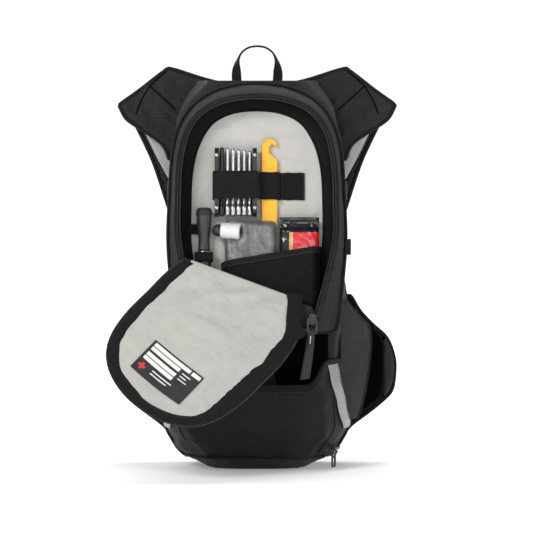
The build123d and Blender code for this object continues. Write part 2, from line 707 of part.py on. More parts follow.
# Inner mesh pocket with a folded tube pouch and a snack bar in it
POCKET_X, POCKET_FLOOR, POCKET_DEPTH = (-37.0, 68.4), 172.0, 25.4
with BuildPart() as inner_pocket:
    with BuildSketch(tools.offset(2.4)):
        with BuildLine():
            Polyline(
                (POCKET_X[0], rise(POCKET_FLOOR)),
                (POCKET_X[1], rise(POCKET_FLOOR)),
                (POCKET_X[1], rise(237)),
                (POCKET_X[0], rise(220)),
                close=True,
            )
        make_face()
    extrude(amount=POCKET_DEPTH - 2.2)
    with BuildSketch(tools):
        with BuildLine():
            Polyline(
                (POCKET_X[0] + 1.2, rise(POCKET_FLOOR) + 1.2),
                (POCKET_X[1] - 1.2, rise(POCKET_FLOOR) + 1.2),
                (POCKET_X[1] - 1.2, rise(260)),
                (POCKET_X[0] + 1.2, rise(260)),
                close=True,
            )
        make_face()
    extrude(amount=POCKET_DEPTH - 1, mode=Mode.SUBTRACT)
save(inner_pocket.part, "inner_mesh_pocket")

with BuildPart() as pocket_binding:
    with BuildSketch(tools.offset(POCKET_DEPTH + 0.2)):
        with BuildLine():
            Polyline(
                (POCKET_X[0], rise(214.5)),
                (POCKET_X[1], rise(231.5)),
                (POCKET_X[1], rise(237)),
                (POCKET_X[0], rise(220)),
                close=True,
            )
        make_face()
    extrude(amount=1.2)
save(pocket_binding.part + stash_binding.part, "pocket_bindings")

with BuildPart() as tube_pouch:
    add(tool_block((-34.6, 20.5), (177, 265.5), (6.2, 23.6), 7))
    fillet(edges().group_by(Axis.Y)[0], 4)
save(tube_pouch.part, "tube_pouch")

with BuildPart() as valve_cap:
    with BuildSketch(tools.offset(23.6)):
        with Locations((-26, rise(252))):
            Circle(8.6)
            Circle(3, mode=Mode.SUBTRACT)
    extrude(amount=3.6)
save(valve_cap.part, "tube_valve_cap")

bar_block = tool_block((24.5, 66.5), (191, 254), (2.8, 16.4), 3)
with BuildPart() as bar_body:
    add(bar_block)
    fillet(edges().filter_by(lambda e: e.length > 20), 4)
crimp_top = tool_block((24.5, 66.5), (253, 268.5), (8.8, 10.4), 0.7)
crimp_bottom = tool_block((24.5, 66.5), (178.5, 192), (8.8, 10.4), 0.7)
save(bar_body.part + crimp_top + crimp_bottom, "energy_bar")


# ---------------------------------------------------------------- water reservoir inside the compartment
with BuildPart() as reservoir:
    with BuildSketch(Plane.XZ.offset(-(BACK_Y - 34))):
        with Locations((0, 190)):
            RectangleRounded(150, 300, 30)
    extrude(amount=-28)
    fillet(edges().group_by(Axis.Y)[0] + edges().group_by(Axis.Y)[-1], 9)
save(reservoir.part, "reservoir_bladder")

with BuildPart() as reservoir_clip:
    with BuildSketch(Plane.XZ.offset(-(BACK_Y - 26))):
        with Locations((0, 348)):
            RectangleRounded(150, 15, 4)
    extrude(amount=-12)
save(reservoir_clip.part, "reservoir_slide_closure")

with BuildPart() as reservoir_port:
    with BuildSketch(Plane.XZ.offset(-(BACK_Y - 34))):
        with Locations((0, 70)):
            Circle(15)
    extrude(amount=8)
    with BuildSketch(Plane.XY.offset(70)):
        with Locations((0, BACK_Y - 34 - 13)):
            Circle(5)
    extrude(amount=26)
    with BuildSketch(Plane.XZ.offset(-(BACK_Y - 34) + 8)):
        with Locations((0, 70)):
            Circle(9)
    extrude(amount=10)
save(reservoir_port.part, "reservoir_port")
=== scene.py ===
import math

import bpy
from mathutils import Matrix, Vector, kdtree, noise
from mathutils.geometry import delaunay_2d_cdt


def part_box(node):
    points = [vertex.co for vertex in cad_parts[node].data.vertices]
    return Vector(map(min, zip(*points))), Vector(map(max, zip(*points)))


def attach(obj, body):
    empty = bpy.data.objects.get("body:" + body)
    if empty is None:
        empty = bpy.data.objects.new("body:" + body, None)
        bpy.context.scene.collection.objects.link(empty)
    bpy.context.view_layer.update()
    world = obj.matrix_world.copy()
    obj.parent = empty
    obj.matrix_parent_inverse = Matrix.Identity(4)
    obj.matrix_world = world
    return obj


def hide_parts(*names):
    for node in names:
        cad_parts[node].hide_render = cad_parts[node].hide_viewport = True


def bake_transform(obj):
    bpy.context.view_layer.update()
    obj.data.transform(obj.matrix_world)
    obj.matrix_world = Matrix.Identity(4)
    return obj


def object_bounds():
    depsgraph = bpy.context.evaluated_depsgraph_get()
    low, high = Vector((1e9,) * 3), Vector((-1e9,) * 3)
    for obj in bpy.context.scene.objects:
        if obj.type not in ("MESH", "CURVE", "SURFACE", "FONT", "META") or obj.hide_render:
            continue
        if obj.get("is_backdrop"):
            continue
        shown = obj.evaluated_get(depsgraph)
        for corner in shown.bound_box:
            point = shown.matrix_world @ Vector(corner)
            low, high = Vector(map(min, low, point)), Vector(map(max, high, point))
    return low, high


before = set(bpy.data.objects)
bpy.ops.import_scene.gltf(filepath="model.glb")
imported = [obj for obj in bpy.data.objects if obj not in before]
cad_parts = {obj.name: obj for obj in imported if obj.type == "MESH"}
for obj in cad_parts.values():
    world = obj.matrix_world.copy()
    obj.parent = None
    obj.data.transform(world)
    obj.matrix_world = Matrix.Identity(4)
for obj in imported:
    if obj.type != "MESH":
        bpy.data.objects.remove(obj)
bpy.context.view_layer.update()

# Hydration pack. Lengths below are millimetres in the CAD's frame, turned into metres when a mesh is made.
# "On the mouth" means in the sloping plane of the organiser's opening, as (x, v, depth).
MM = 0.001
SIDES = ((1, "right"), (-1, "left"))
FRONT = Vector((0, -1, 0))

# ---------------------------------------------------------------- camera and lights
camera = bpy.data.objects.new("camera", bpy.data.cameras.new("camera"))
bpy.context.scene.collection.objects.link(camera)
bpy.context.scene.camera = camera
CAMERA_TARGET = Vector((0.014, 0.0, 0.2117))
CAMERA_DISTANCE, CAMERA_RISE = 4.0, math.radians(2.5)
FRAME_WIDTH = 0.5832  # metres seen across the picture at the target
SENSOR = 36
back = Vector((0, -math.cos(CAMERA_RISE), math.sin(CAMERA_RISE)))
camera.location = CAMERA_TARGET + back * CAMERA_DISTANCE
camera.rotation_mode = "QUATERNION"
camera.rotation_quaternion = (-back).to_track_quat("-Z", "Y")
camera.data.sensor_width = SENSOR
camera.data.lens = SENSOR * CAMERA_DISTANCE / FRAME_WIDTH
camera.data.clip_end = 60


def area_light(name, place, aim, size, power):
    """Square soft light, in metres and watts."""
    lamp = bpy.data.lights.new(name, "AREA")
    lamp.energy, lamp.size = power, size
    obj = bpy.data.objects.new(name, lamp)
    bpy.context.scene.collection.objects.link(obj)
    obj.location = place
    obj.rotation_mode = "QUATERNION"
    obj.rotation_quaternion = (Vector(aim) - Vector(place)).to_track_quat("-Z", "Y")


area_light("key_light", (-1.2, -1.9, 1.5), (0, 0, 0.22), 0.8, 36)
area_light("front_light", (0.5, -2.9, 0.75), (0, 0, 0.25), 0.9, 13)
area_light("fill_light", (1.9, -0.9, 0.9), (0, 0, 0.2), 0.9, 8)
area_light("top_light", (0.2, 0.7, 2.2), (0, 0, 0.3), 1.2, 24)
area_light("rear_light", (-0.8, 2.0, 1.2), (0, 0, 0.2), 1.4, 16)

world = bpy.data.worlds.new("studio")
bpy.context.scene.world = world
world.use_nodes = True
sky = world.node_tree.nodes["Background"]
sky.inputs["Color"].default_value = (1, 1, 1, 1)
seen = world.node_tree.nodes.new("ShaderNodeLightPath")
level = world.node_tree.nodes.new("ShaderNodeMapRange")
level.inputs["To Min"].default_value = 0.26
level.inputs["To Max"].default_value = 1.05
world.node_tree.links.new(seen.outputs["Is Camera Ray"], level.inputs["Value"])
world.node_tree.links.new(level.outputs[0], sky.inputs["Strength"])
bpy.context.scene.view_settings.view_transform = "Standard"


# ---------------------------------------------------------------- materials
class Shader:
    """One procedural material, built from small node helpers."""

    def __init__(self, name, color, rough, metallic=0.0, sheen=0.0, coat=0.0, coords="UV", gloss=0.5):
        self.material = bpy.data.materials.new(name)
        self.material.use_nodes = True
        self.tree = self.material.node_tree
        self.base = self.tree.nodes["Principled BSDF"]
        self.put(self.base, {
            "Base Color": (*color, 1), "Roughness": rough, "Metallic": metallic, "Sheen Weight": sheen,
            "Sheen Roughness": 0.45, "Coat Weight": coat, "Specular IOR Level": gloss,
        })
        self.coords = self.node("ShaderNodeTexCoord").outputs[coords]
        self.axes = self.node("ShaderNodeSeparateXYZ")
        self.tree.links.new(self.coords, self.axes.inputs[0])
        self.height = None

    def node(self, kind, **settings):
        made = self.tree.nodes.new(kind)
        for key, value in settings.items():
            setattr(made, key, value)
        return made

    def put(self, node, values):
        """Sets constants on a node's own sockets."""
        for key, value in values.items():
            node.inputs[key].default_value = value

    def feed(self, socket, value):
        """A constant, or a link from another node's output."""
        if isinstance(value, (int, float)):
            socket.default_value = value
        else:
            self.tree.links.new(value, socket)

    def math(self, operation, a, b=0.0):
        made = self.node("ShaderNodeMath", operation=operation)
        self.feed(made.inputs[0], a)
        self.feed(made.inputs[1], b)
        return made.outputs[0]

    def lines(self, axis, period, width):
        """1 on soft lines across an axis, 0 between them. Metres."""
        phase = self.math("FRACT", self.math("MULTIPLY", self.axes.outputs[axis], 1 / period))
        off = self.math("ABSOLUTE", self.math("SUBTRACT", phase, 0.5))
        made = self.node("ShaderNodeMapRange", interpolation_type="SMOOTHSTEP")
        self.feed(made.inputs["Value"], off)
        self.put(made, {"From Min": 0.5 - width / period, "From Max": 0.5})
        return made.outputs[0]

    def noise(self, scale, detail=3.0, rough=0.55, stretch=None):
        made = self.node("ShaderNodeTexNoise")
        self.put(made, {"Scale": scale, "Detail": detail, "Roughness": rough})
        place = self.coords
        if stretch:
            turn = self.node("ShaderNodeMapping")
            self.put(turn, {"Scale": stretch})
            self.tree.links.new(place, turn.inputs[0])
            place = turn.outputs[0]
        self.tree.links.new(place, made.inputs["Vector"])
        return made.outputs[0]

    def cells(self, scale, feature="F1"):
        made = self.node("ShaderNodeTexVoronoi", feature=feature)
        made.inputs["Scale"].default_value = scale
        self.tree.links.new(self.coords, made.inputs["Vector"])
        return made.outputs[0]

    def tint(self, factor, low, high):
        """Colours the surface from low to high as factor goes from 0 to 1."""
        ramp = self.node("ShaderNodeMix", data_type="RGBA")
        self.feed(ramp.inputs[0], factor)
        ramp.inputs[6].default_value = (*low, 1)
        ramp.inputs[7].default_value = (*high, 1)
        self.tree.links.new(ramp.outputs[2], self.base.inputs["Base Color"])

    def roughen(self, factor, low, high):
        """Roughness from low to high as factor goes from 0 to 1."""
        made = self.node("ShaderNodeMapRange")
        self.feed(made.inputs["Value"], factor)
        self.put(made, {"To Min": low, "To Max": high})
        self.tree.links.new(made.outputs[0], self.base.inputs["Roughness"])

    def bump(self, height, depth, strength=1.0):
        """Adds a bump of depth metres on top of the ones before it."""
        made = self.node("ShaderNodeBump")
        self.put(made, {"Strength": strength, "Distance": depth})
        self.tree.links.new(height, made.inputs["Height"])
        if self.height is not None:
            self.tree.links.new(self.height, made.inputs["Normal"])
        self.height = made.outputs[0]
        self.tree.links.new(self.height, self.base.inputs["Normal"])


def woven(name, dark, light, rough, sheen, period, relief, coords="UV", ripstop=0.0, crease=0.003):
    """Plain woven cloth, with a ripstop grid if its pitch is given."""
    s = Shader(name, dark, rough, sheen=sheen, coords=coords, gloss=0.16)
    mottle = s.noise(90, 4)
    weave = s.math("MAXIMUM", s.lines(0, period, period * 0.3), s.lines(1, period, period * 0.3))
    if coords != "UV":
        weave = s.math("MAXIMUM", weave, s.lines(2, period, period * 0.3))
    mix = s.math("MULTIPLY", mottle, 0.75)
    if ripstop:
        grid = s.math("MAXIMUM", s.lines(0, ripstop * 1.6, 0.00045), s.lines(1, ripstop, 0.00055))
        mix = s.math("ADD", mix, s.math("MULTIPLY", grid, 0.55))
        s.bump(grid, 0.00025, 0.8)
    s.tint(mix, dark, light)
    s.roughen(mottle, rough - 0.1, rough + 0.12)
    s.bump(weave, relief, 0.6)
    s.bump(s.noise(26, 3, 0.5, (1.0, 2.2, 1.0)), crease, 0.7)
    s.bump(s.noise(9, 2, 0.5, (2.4, 1.0, 1.0)), crease * 2, 0.6)
    return s.material


def ribbed(name, dark, light, rough, pitch, groove, coords="UV", sheen=0.04):
    """Tape or webbing with ribs across its length."""
    s = Shader(name, dark, rough, sheen=sheen, coords=coords, gloss=0.1)
    rib = s.lines(0, pitch, pitch * 0.45)
    edge = s.lines(1, groove, groove * 0.12)
    if coords != "UV":
        rib = s.lines(2, pitch, pitch * 0.45)
        edge = s.lines(0, groove, groove * 0.12)
    s.tint(s.math("ADD", s.math("MULTIPLY", rib, 0.45), s.math("MULTIPLY", s.noise(160), 0.4)), dark, light)
    s.bump(rib, 0.00035, 0.8)
    s.bump(edge, 0.0003, 0.6)
    return s.material


def moulded(name, color, light, rough, grain=900, coat=0.0, metallic=0.0, scratch=0.0):
    """Plastic, rubber or metal with a fine grain and slight wear."""
    s = Shader(name, color, rough, metallic=metallic, coat=coat, coords="Object")
    wear = s.noise(60, 5)
    s.tint(wear, color, light)
    s.roughen(s.noise(140, 4), max(rough - 0.12, 0.05), rough + 0.12)
    s.bump(s.noise(grain, 2), 0.00008, 0.6)
    if scratch:
        s.bump(s.noise(300, 2, 0.5, (1, 1, 0.05)), scratch, 0.5)
    return s.material


BLACK, CHARCOAL = (0.0075, 0.0075, 0.008), (0.027, 0.027, 0.0285)
ripstop = woven("ripstop_cloth", BLACK, CHARCOAL, 0.6, 0.06, 0.0008, 0.00012, ripstop=0.0036)
nylon = woven("smooth_cloth", (0.0045, 0.0045, 0.005), (0.0145, 0.0145, 0.0155), 0.52, 0.02, 0.0006, 0.00008)
cloth_3d = woven("inner_cloth", BLACK, CHARCOAL, 0.65, 0.05, 0.0009, 0.0001, coords="Object")
lining = woven("light_lining", (0.47, 0.462, 0.432), (0.58, 0.571, 0.535), 0.6, 0.03, 0.0007, 0.00008, crease=0.0045)
# painted shade: a darker copy of the light lining, for the lining inside the open flap and across its fold
lining_shaded_copy = woven("flap_lining_shaded_copy", (0.405, 0.398, 0.37), (0.515, 0.507, 0.473), 0.6, 0.03, 0.0007, 0.00008,
                   crease=0.0045)
binding = ribbed("binding_tape", (0.0045, 0.0045, 0.0048), (0.02, 0.02, 0.021), 0.6, 0.0011, 0.006)
webbing = ribbed("webbing", (0.006, 0.006, 0.0065), (0.03, 0.03, 0.032), 0.6, 0.0016, 0.005)
webbing_3d = ribbed("webbing_flat", (0.006, 0.006, 0.0065), (0.03, 0.03, 0.032), 0.6, 0.0016, 0.005, coords="Object")
elastic = ribbed("elastic", (0.0045, 0.0045, 0.0048), (0.019, 0.019, 0.02), 0.7, 0.0013, 0.0018)
black_plastic = moulded("black_plastic", (0.012, 0.012, 0.0125), (0.03, 0.03, 0.031), 0.42)
black_metal = moulded("black_metal", (0.016, 0.016, 0.017), (0.05, 0.05, 0.052), 0.34, metallic=0.6)
steel = moulded("tool_steel", (0.42, 0.42, 0.43), (0.62, 0.62, 0.63), 0.3, metallic=1.0, scratch=0.0001)
orange = moulded("orange_plastic", (0.95, 0.41, 0.01), (1.0, 0.5, 0.02), 0.38, grain=700, coat=0.15)
white_plastic = moulded("white_plastic", (0.62, 0.62, 0.6), (0.74, 0.74, 0.72), 0.4)
rubber = moulded("rubber", (0.006, 0.006, 0.0063), (0.014, 0.014, 0.0145), 0.66, grain=1500)
clear_film = moulded("reservoir_film", (0.25, 0.4, 0.5), (0.4, 0.55, 0.65), 0.25, coat=0.4)
thread = moulded("thread", (0.05, 0.05, 0.052), (0.09, 0.09, 0.09), 0.7)
pale_print = moulded("pale_print", (0.68, 0.68, 0.66), (0.8, 0.8, 0.78), 0.6)
red_print = moulded("red_print", (0.55, 0.03, 0.04), (0.7, 0.07, 0.07), 0.5)


def coil_material():
    """Zip coil: black, with its ridges painted pale as highlight over darker gaps."""
    s = Shader("zip_coil", (0.01, 0.01, 0.011), 0.35)
    tooth = s.lines(0, 0.0016, 0.0008)
    s.tint(tooth, (0.006, 0.006, 0.006), (0.05, 0.05, 0.052))
    s.bump(tooth, 0.0007, 1.0)
    return s.material


def spacer_mesh(name, scale, dark, light, depth):
    """Open mesh with round holes. scale is holes per metre."""
    s = Shader(name, dark, 0.8, sheen=0.02, gloss=0.1)
    holes = s.cells(scale)
    s.tint(holes, light, dark)
    s.bump(holes, -depth, 0.8)
    s.bump(s.noise(40, 3), 0.0006, 0.5)
    return s.material


def reflective_material():
    """Silver-grey film with fine beads."""
    s = Shader("reflective", (0.5, 0.51, 0.48), 0.42, metallic=0.25, coat=0.1)
    bead = s.cells(1400)
    s.tint(s.noise(70, 4), (0.25, 0.255, 0.245), (0.38, 0.385, 0.37))
    s.bump(bead, 0.00008, 0.6)
    s.bump(s.noise(45, 3), 0.0009, 0.6)
    return s.material


def pouch_material():
    """Crumpled grey cloth with a slight shine. Its colour follows the crumple bumps: painted shade in the creases,
    painted highlight on the crests.
    """
    s = Shader("pouch_cloth", (0.18, 0.18, 0.18), 0.42, metallic=0.35, sheen=0.1)
    fold = s.noise(55, 5, 0.6)
    s.tint(fold, (0.05, 0.05, 0.05), (0.24, 0.24, 0.235))
    s.roughen(fold, 0.55, 0.3)
    s.bump(fold, 0.004, 0.9)
    s.bump(s.noise(800, 2), 0.0001, 0.5)
    return s.material


coil = coil_material()
spacer = spacer_mesh("spacer_mesh", 520, (0.006, 0.006, 0.0065), (0.034, 0.034, 0.036), 0.0009)
fine_mesh = spacer_mesh("fine_mesh", 850, (0.002, 0.002, 0.0022), (0.014, 0.014, 0.015), 0.0006)
reflective = reflective_material()
pouch_cloth = pouch_material()


# ---------------------------------------------------------------- geometry helpers
def clamp(value, low=0.0):
    """value kept between low and 1."""
    return min(max(value, low), 1)


def catmull(points, per=6, closed=False):
    """Smooth curve through points of any dimension."""
    count = len(points)
    out = []
    for i in range(count if closed else count - 1):
        before = points[i - 1] if closed or i else points[0]
        start, end = points[i], points[(i + 1) % count]
        after = points[(i + 2) % count] if closed or i + 2 < count else end
        for k in range(per):
            t = k / per
            out.append(tuple(
                0.5 * (2 * b + (c - a) * t + (2 * a - 5 * b + 4 * c - d) * t * t + (3 * b - a - 3 * c + d) * t ** 3)
                for a, b, c, d in zip(before, start, end, after)
            ))
    if not closed:
        out.append(tuple(points[-1]))
    return out


def resample(points, count, closed=False):
    """count points evenly spaced along a polyline."""
    line = [Vector(p) for p in points]
    if closed:
        line.append(line[0])
    travel = [0.0]
    for a, b in zip(line, line[1:]):
        travel.append(travel[-1] + (b - a).length)
    steps = count if closed else count - 1
    out, k = [], 0
    for i in range(count):
        want = travel[-1] * i / steps
        while k < len(line) - 2 and travel[k + 1] < want:
            k += 1
        span = travel[k + 1] - travel[k]
        out.append(line[k].lerp(line[k + 1], (want - travel[k]) / span if span else 0))
    return out


def soften(points, passes, closed=True):
    """Rounds the corners of a line by averaging neighbours."""
    line = [Vector(p) for p in points]
    for _ in range(passes):
        last = len(line) - 1
        line = [
            p if not closed and i in (0, last) else (line[i - 1] + 2 * p + line[(i + 1) % len(line)]) / 4
            for i, p in enumerate(line)
        ]
    return line


def spread(points, amount):
    """Closed 2-D outline, anticlockwise, moved outwards along its normals."""
    out = []
    for i, p in enumerate(points):
        along = (Vector(points[(i + 1) % len(points)]) - Vector(points[i - 1])).to_2d().normalized()
        out.append(Vector((p[0] + along.y * amount, p[1] - along.x * amount)))
    return out


def make(name, verts, faces, uvs, body, material, replaces=(), smooth=True, slot=None):
    """Mesh piece from millimetre points. uvs has one (u, v) in metres for each corner of each face."""
    mesh = bpy.data.meshes.new(name)
    mesh.from_pydata([Vector(p) * MM for p in verts], [], faces)
    layer = mesh.uv_layers.new(name="cloth")
    k = 0
    for corners in uvs:
        for uv in corners:
            layer.data[k].uv = uv
            k += 1
    mesh.materials.append(material)
    for polygon in mesh.polygons:
        polygon.use_smooth = smooth
    mesh.update()
    obj = bpy.data.objects.new(name, mesh)
    bpy.context.scene.collection.objects.link(obj)
    if body:
        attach(obj, body)
    if replaces:
        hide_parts(*replaces)
    return obj


def grid(name, rows, body, material, close_u=False, close_v=False, caps=False, **more):
    """Surface through rows of points. u runs along the rows, v along a row."""
    n, m = len(rows), len(rows[0])
    verts = [p for row in rows for p in row]
    along, across = [0.0], [0.0]
    middle = m // 2
    for i in range(n):
        along.append(along[-1] + (Vector(rows[(i + 1) % n][middle]) - Vector(rows[i][middle])).length * MM)
    central = rows[n // 2]
    for j in range(m):
        across.append(across[-1] + (Vector(central[(j + 1) % m]) - Vector(central[j])).length * MM)
    faces, uvs = [], []
    for i in range(n if close_u else n - 1):
        for j in range(m if close_v else m - 1):
            a, b = (i + 1) % n, (j + 1) % m
            faces.append((i * m + j, i * m + b, a * m + b, a * m + j))
            uvs.append((
                (along[i], across[j]), (along[i], across[j + 1]),
                (along[i + 1], across[j + 1]), (along[i + 1], across[j]),
            ))
    if caps:
        for i, order in ((0, range(m - 1, -1, -1)), (n - 1, range(m))):
            faces.append(tuple(i * m + j for j in order))
            uvs.append([(rows[i][j][0] * MM, rows[i][j][1] * MM) for j in order])
    return make(name, verts, faces, uvs, body, material, **more)


def flat_section(width, thick, steps=3):
    """Rounded rectangle, as offsets across and out."""
    r = min(thick, width) / 2 * 0.95
    out = []
    for cx, cy, start in ((1, 1, 0), (-1, 1, 90), (-1, -1, 180), (1, -1, 270)):
        for k in range(steps + 1):
            a = math.radians(start + 90 * k / steps)
            out.append((cx * (width / 2 - r) + r * math.cos(a), cy * (thick / 2 - r) + r * math.sin(a)))
    return out


def turns(count):
    """Angles of a full turn in equal steps."""
    return [2 * math.pi * k / count for k in range(count)]


def round_section(radius, steps=10):
    """Circle, as offsets across and out."""
    return [(radius * math.cos(a), radius * math.sin(a)) for a in turns(steps)]


def sweep(name, path, outs, section, body, material, closed=False, caps=True, **more):
    """Section carried along a path. outs gives the outward direction at each point, or one for all."""
    path = [Vector(p) for p in path]
    if isinstance(outs, Vector):
        outs = [outs] * len(path)
    last = len(path) - 1
    rows = []
    for i, p in enumerate(path):
        ahead = path[(i + 1) % len(path)] if closed or i < last else path[i]
        behind = path[i - 1] if closed or i else path[0]
        tangent = (ahead - behind).normalized()
        side = outs[i].cross(tangent).normalized()
        out = tangent.cross(side).normalized()
        rows.append([p + side * a + out * b for a, b in section])
    return grid(name, rows, body, material, close_u=closed, close_v=True, caps=caps and not closed, **more)


def area_mesh(outline, step):
    """Fine triangles inside a closed outline: points, triangles, and each point's distance from the edge."""
    length = sum((Vector(outline[i]) - Vector(outline[i - 1])).length for i in range(len(outline)))
    edge = [p.to_2d() for p in resample(outline, max(12, int(length / step)), closed=True)]
    tree = kdtree.KDTree(len(edge) * 3)
    for i, p in enumerate(edge):
        for k in range(3):
            q = p.lerp(edge[(i + 1) % len(edge)], k / 3)
            tree.insert((q.x, q.y, 0), i * 3 + k)
    tree.balance()
    xs, zs = [p.x for p in edge], [p.y for p in edge]
    inner, row, z = [], 0, min(zs)
    while z < max(zs):
        x = min(xs) + (row % 2) * step / 2
        while x < max(xs):
            if tree.find((x, z, 0))[2] > step * 0.6:
                inner.append(Vector((x, z)))
            x += step
        z += step * 0.866
        row += 1
    points, _, triangles, _, _, _ = delaunay_2d_cdt(edge + inner, [], [tuple(range(len(edge)))], 1, 1e-5)
    used = sorted({i for t in triangles for i in t})
    place = {old: new for new, old in enumerate(used)}
    points = [points[i] for i in used]
    gaps = [0.0 if used[i] < len(edge) else tree.find((p.x, p.y, 0))[2] for i, p in enumerate(points)]
    return points, [tuple(place[i] for i in t) for t in triangles], gaps


def cloth(name, outline, place, body, material, depth=None, step=3.5, **more):
    """Single layer of cloth in an outline. place maps (x, z, depth) to a point, depth(x, z, gap) shapes it."""
    points, triangles, gaps = area_mesh(outline, step)
    verts = [place(p.x, p.y, depth(p.x, p.y, g) if depth else 0) for p, g in zip(points, gaps)]
    uvs = [[(points[i].x * MM, points[i].y * MM) for i in t] for t in triangles]
    return make(name, verts, triangles, uvs, body, material, **more)


def cushion(name, outline, place, body, material, thick, round_edge=4.0, relief=None, step=3.5, **more):
    """Closed pad in an outline, between depth 0 and thick. relief(x, z, gap, side) is added to either face."""
    points, triangles, gaps = area_mesh(outline, step)
    count = len(points)
    verts, mid = [], thick / 2
    swell = [math.sqrt(max(0.0, 1 - (1 - min(g / round_edge, 1)) ** 2)) for g in gaps]
    for side in (1, -1):
        for p, g, s in zip(points, gaps, swell):
            extra = relief(p.x, p.y, g, side) * min(g / round_edge, 1) if relief else 0
            verts.append(place(p.x, p.y, mid + side * (mid * s + extra)))
    other = [count + i if g > 0 else i for i, g in enumerate(gaps)]
    faces = list(triangles) + [tuple(other[i] for i in reversed(t)) for t in triangles]
    flat = [(p.x * MM, p.y * MM) for p in points] * 2
    uvs = [[flat[i] for i in face] for face in faces]
    return make(name, verts, faces, uvs, body, material, **more)


def plate(name, outline, place, low, high, bevel, body, material, **more):
    """Rigid plate with a rounded edge."""
    outline = [Vector(p) for p in outline]
    inner = spread(outline, -bevel)
    b = bevel
    loops = [(inner, low), (spread(outline, -b * 0.3), low + b * 0.3), (outline, low + b), (outline, high - b),
             (spread(outline, -b * 0.3), high - b * 0.3), (inner, high)]
    count = len(outline)
    verts = [place(p.x, p.y, d) for ring, d in loops for p in ring]
    faces = [tuple(range(count - 1, -1, -1))]
    for k in range(len(loops) - 1):
        for j in range(count):
            jj = (j + 1) % count
            faces.append((k * count + j, k * count + jj, (k + 1) * count + jj, (k + 1) * count + j))
    faces.append(tuple((len(loops) - 1) * count + j for j in range(count)))
    flat = [(p.x * MM, p.y * MM) for ring, _ in loops for p in ring]
    uvs = [[flat[i] for i in face] for face in faces]
    return make(name, verts, faces, uvs, body, material, **more)


def ruffle(obj, amount, scale, sharp=3.0, seed=0.0, mask=None):
    """Pushes a mesh in along soft creases. scale is creases per millimetre on each axis."""
    mesh = obj.data
    mesh.update()
    normals = [v.normal.copy() for v in mesh.vertices]
    for v, normal in zip(mesh.vertices, normals):
        p = v.co / MM
        n = noise.noise(Vector((p.x * scale[0] + seed, p.y * scale[1] + seed, p.z * scale[2])))
        fold = (1 - abs(n)) ** sharp - 0.45
        weight = mask(p) if mask else 1
        v.co += normal * (fold * amount * weight * MM)
    mesh.update()


def pucker(x, z, scale=1.0, seed=0.0):
    """Soft crease height, between about -0.5 and 0.5."""
    n = noise.noise(Vector((x * 0.03 * scale + seed, z * 0.022 * scale, seed)))
    m = noise.noise(Vector((x * 0.08 * scale, z * 0.06 * scale + seed, 4.0 + seed)))
    return (1 - abs(n)) ** 4 * 0.7 + m * 0.35 - 0.25


def thicken(obj, amount, offset=-1.0):
    """Real thickness in millimetres, behind the surface, or on both sides with offset 0."""
    solid = obj.modifiers.new("thickness", "SOLIDIFY")
    solid.thickness, solid.offset = amount * MM, offset
    solid.use_even_offset = False
    return obj


def subdivide(obj):
    """One level of smoothing."""
    smooth = obj.modifiers.new("smooth", "SUBSURF")
    smooth.levels = smooth.render_levels = 1


def stitches(name, path, outs, body, pitch=3.4, length=2.2, width=0.55, colour=None):
    """Row of separate stitches along a path, as one mesh."""
    path = [Vector(p) for p in path]
    if isinstance(outs, Vector):
        outs = [outs] * len(path)
    total = sum((b - a).length for a, b in zip(path, path[1:]))
    count = max(int(total / pitch), 2)
    points = resample(path, count * 2)
    verts, faces, uvs = [], [], []
    section = round_section(width / 2, 5)
    for k in range(0, count * 2 - 1, 2):
        a, b = points[k], points[k + 1]
        middle, direction = (a + b) / 2, (b - a).normalized()
        out = outs[min(int(k / (count * 2) * len(outs)), len(outs) - 1)]
        side = direction.cross(out).normalized()
        base = len(verts)
        for t, lift, r in ((-0.5, -0.25, 0.4), (-0.25, 0.1, 1), (0.25, 0.1, 1), (0.5, -0.25, 0.4)):
            for x, y in section:
                verts.append(middle + direction * (t * length) + side * x * r + out * (y * r + lift))
        for i in range(3):
            for j in range(5):
                jj = (j + 1) % 5
                faces.append((base + i * 5 + j, base + i * 5 + jj, base + i * 5 + 5 + jj, base + i * 5 + 5 + j))
                uvs.append([(0, 0), (0, 0.001), (0.001, 0.001), (0.001, 0)])
    return make(name, verts, faces, uvs, body, colour or thread)


# ---------------------------------------------------------------- compartment
SECTIONS = {
    0: (46, -40, 54), 6: (57, -48, 70), 14: (66, -51, 82), 45: (78, -54, 104), 100: (84, -54, 112), 150: (88, -50, 105),
    190: (90, -46, 95), 235: (90, -42, 91), 293: (90, -34, 91), 345: (88, -27, 89), 385: (80, -20, 84),
    405: (67, -13, 74), 416: (52, -6, 62),
}  # height: front half width, front y, back half width
BACK_Y = 43
CORNER = 14  # radius of the shell's vertical front corners


def section_at(table, z):
    """Front half width, front y and back half width at a height."""
    levels = sorted(table)
    z = min(max(z, levels[0]), levels[-1])
    for low, high in zip(levels, levels[1:]):
        if z <= high:
            t = (z - low) / (high - low)
            return tuple(a + (b - a) * t for a, b in zip(table[low], table[high]))
    return table[levels[-1]]


def smooth_section(table, z, reach=9):
    """section_at averaged over a short height, so that the shell has no hard kinks."""
    samples = [section_at(table, z + k * reach / 3) for k in range(-3, 4)]
    return tuple(sum(s[i] for s in samples) / 7 for i in range(3))


def shell_front(x, z):
    """y of the shell's front at x, z."""
    half, front, rear = smooth_section(SECTIONS, z)
    r = CORNER
    reach = abs(x)
    if reach <= half - r:
        return front
    if reach <= half - 2:
        return front + r - math.sqrt(max(r * r - (reach - half + r) ** 2, 0))
    start = front + r - math.sqrt(r * r - (r - 2) ** 2)
    t = min((reach - half + 2) / max(rear - half + 2, 1), 1)
    return start + (BACK_Y - start) * t


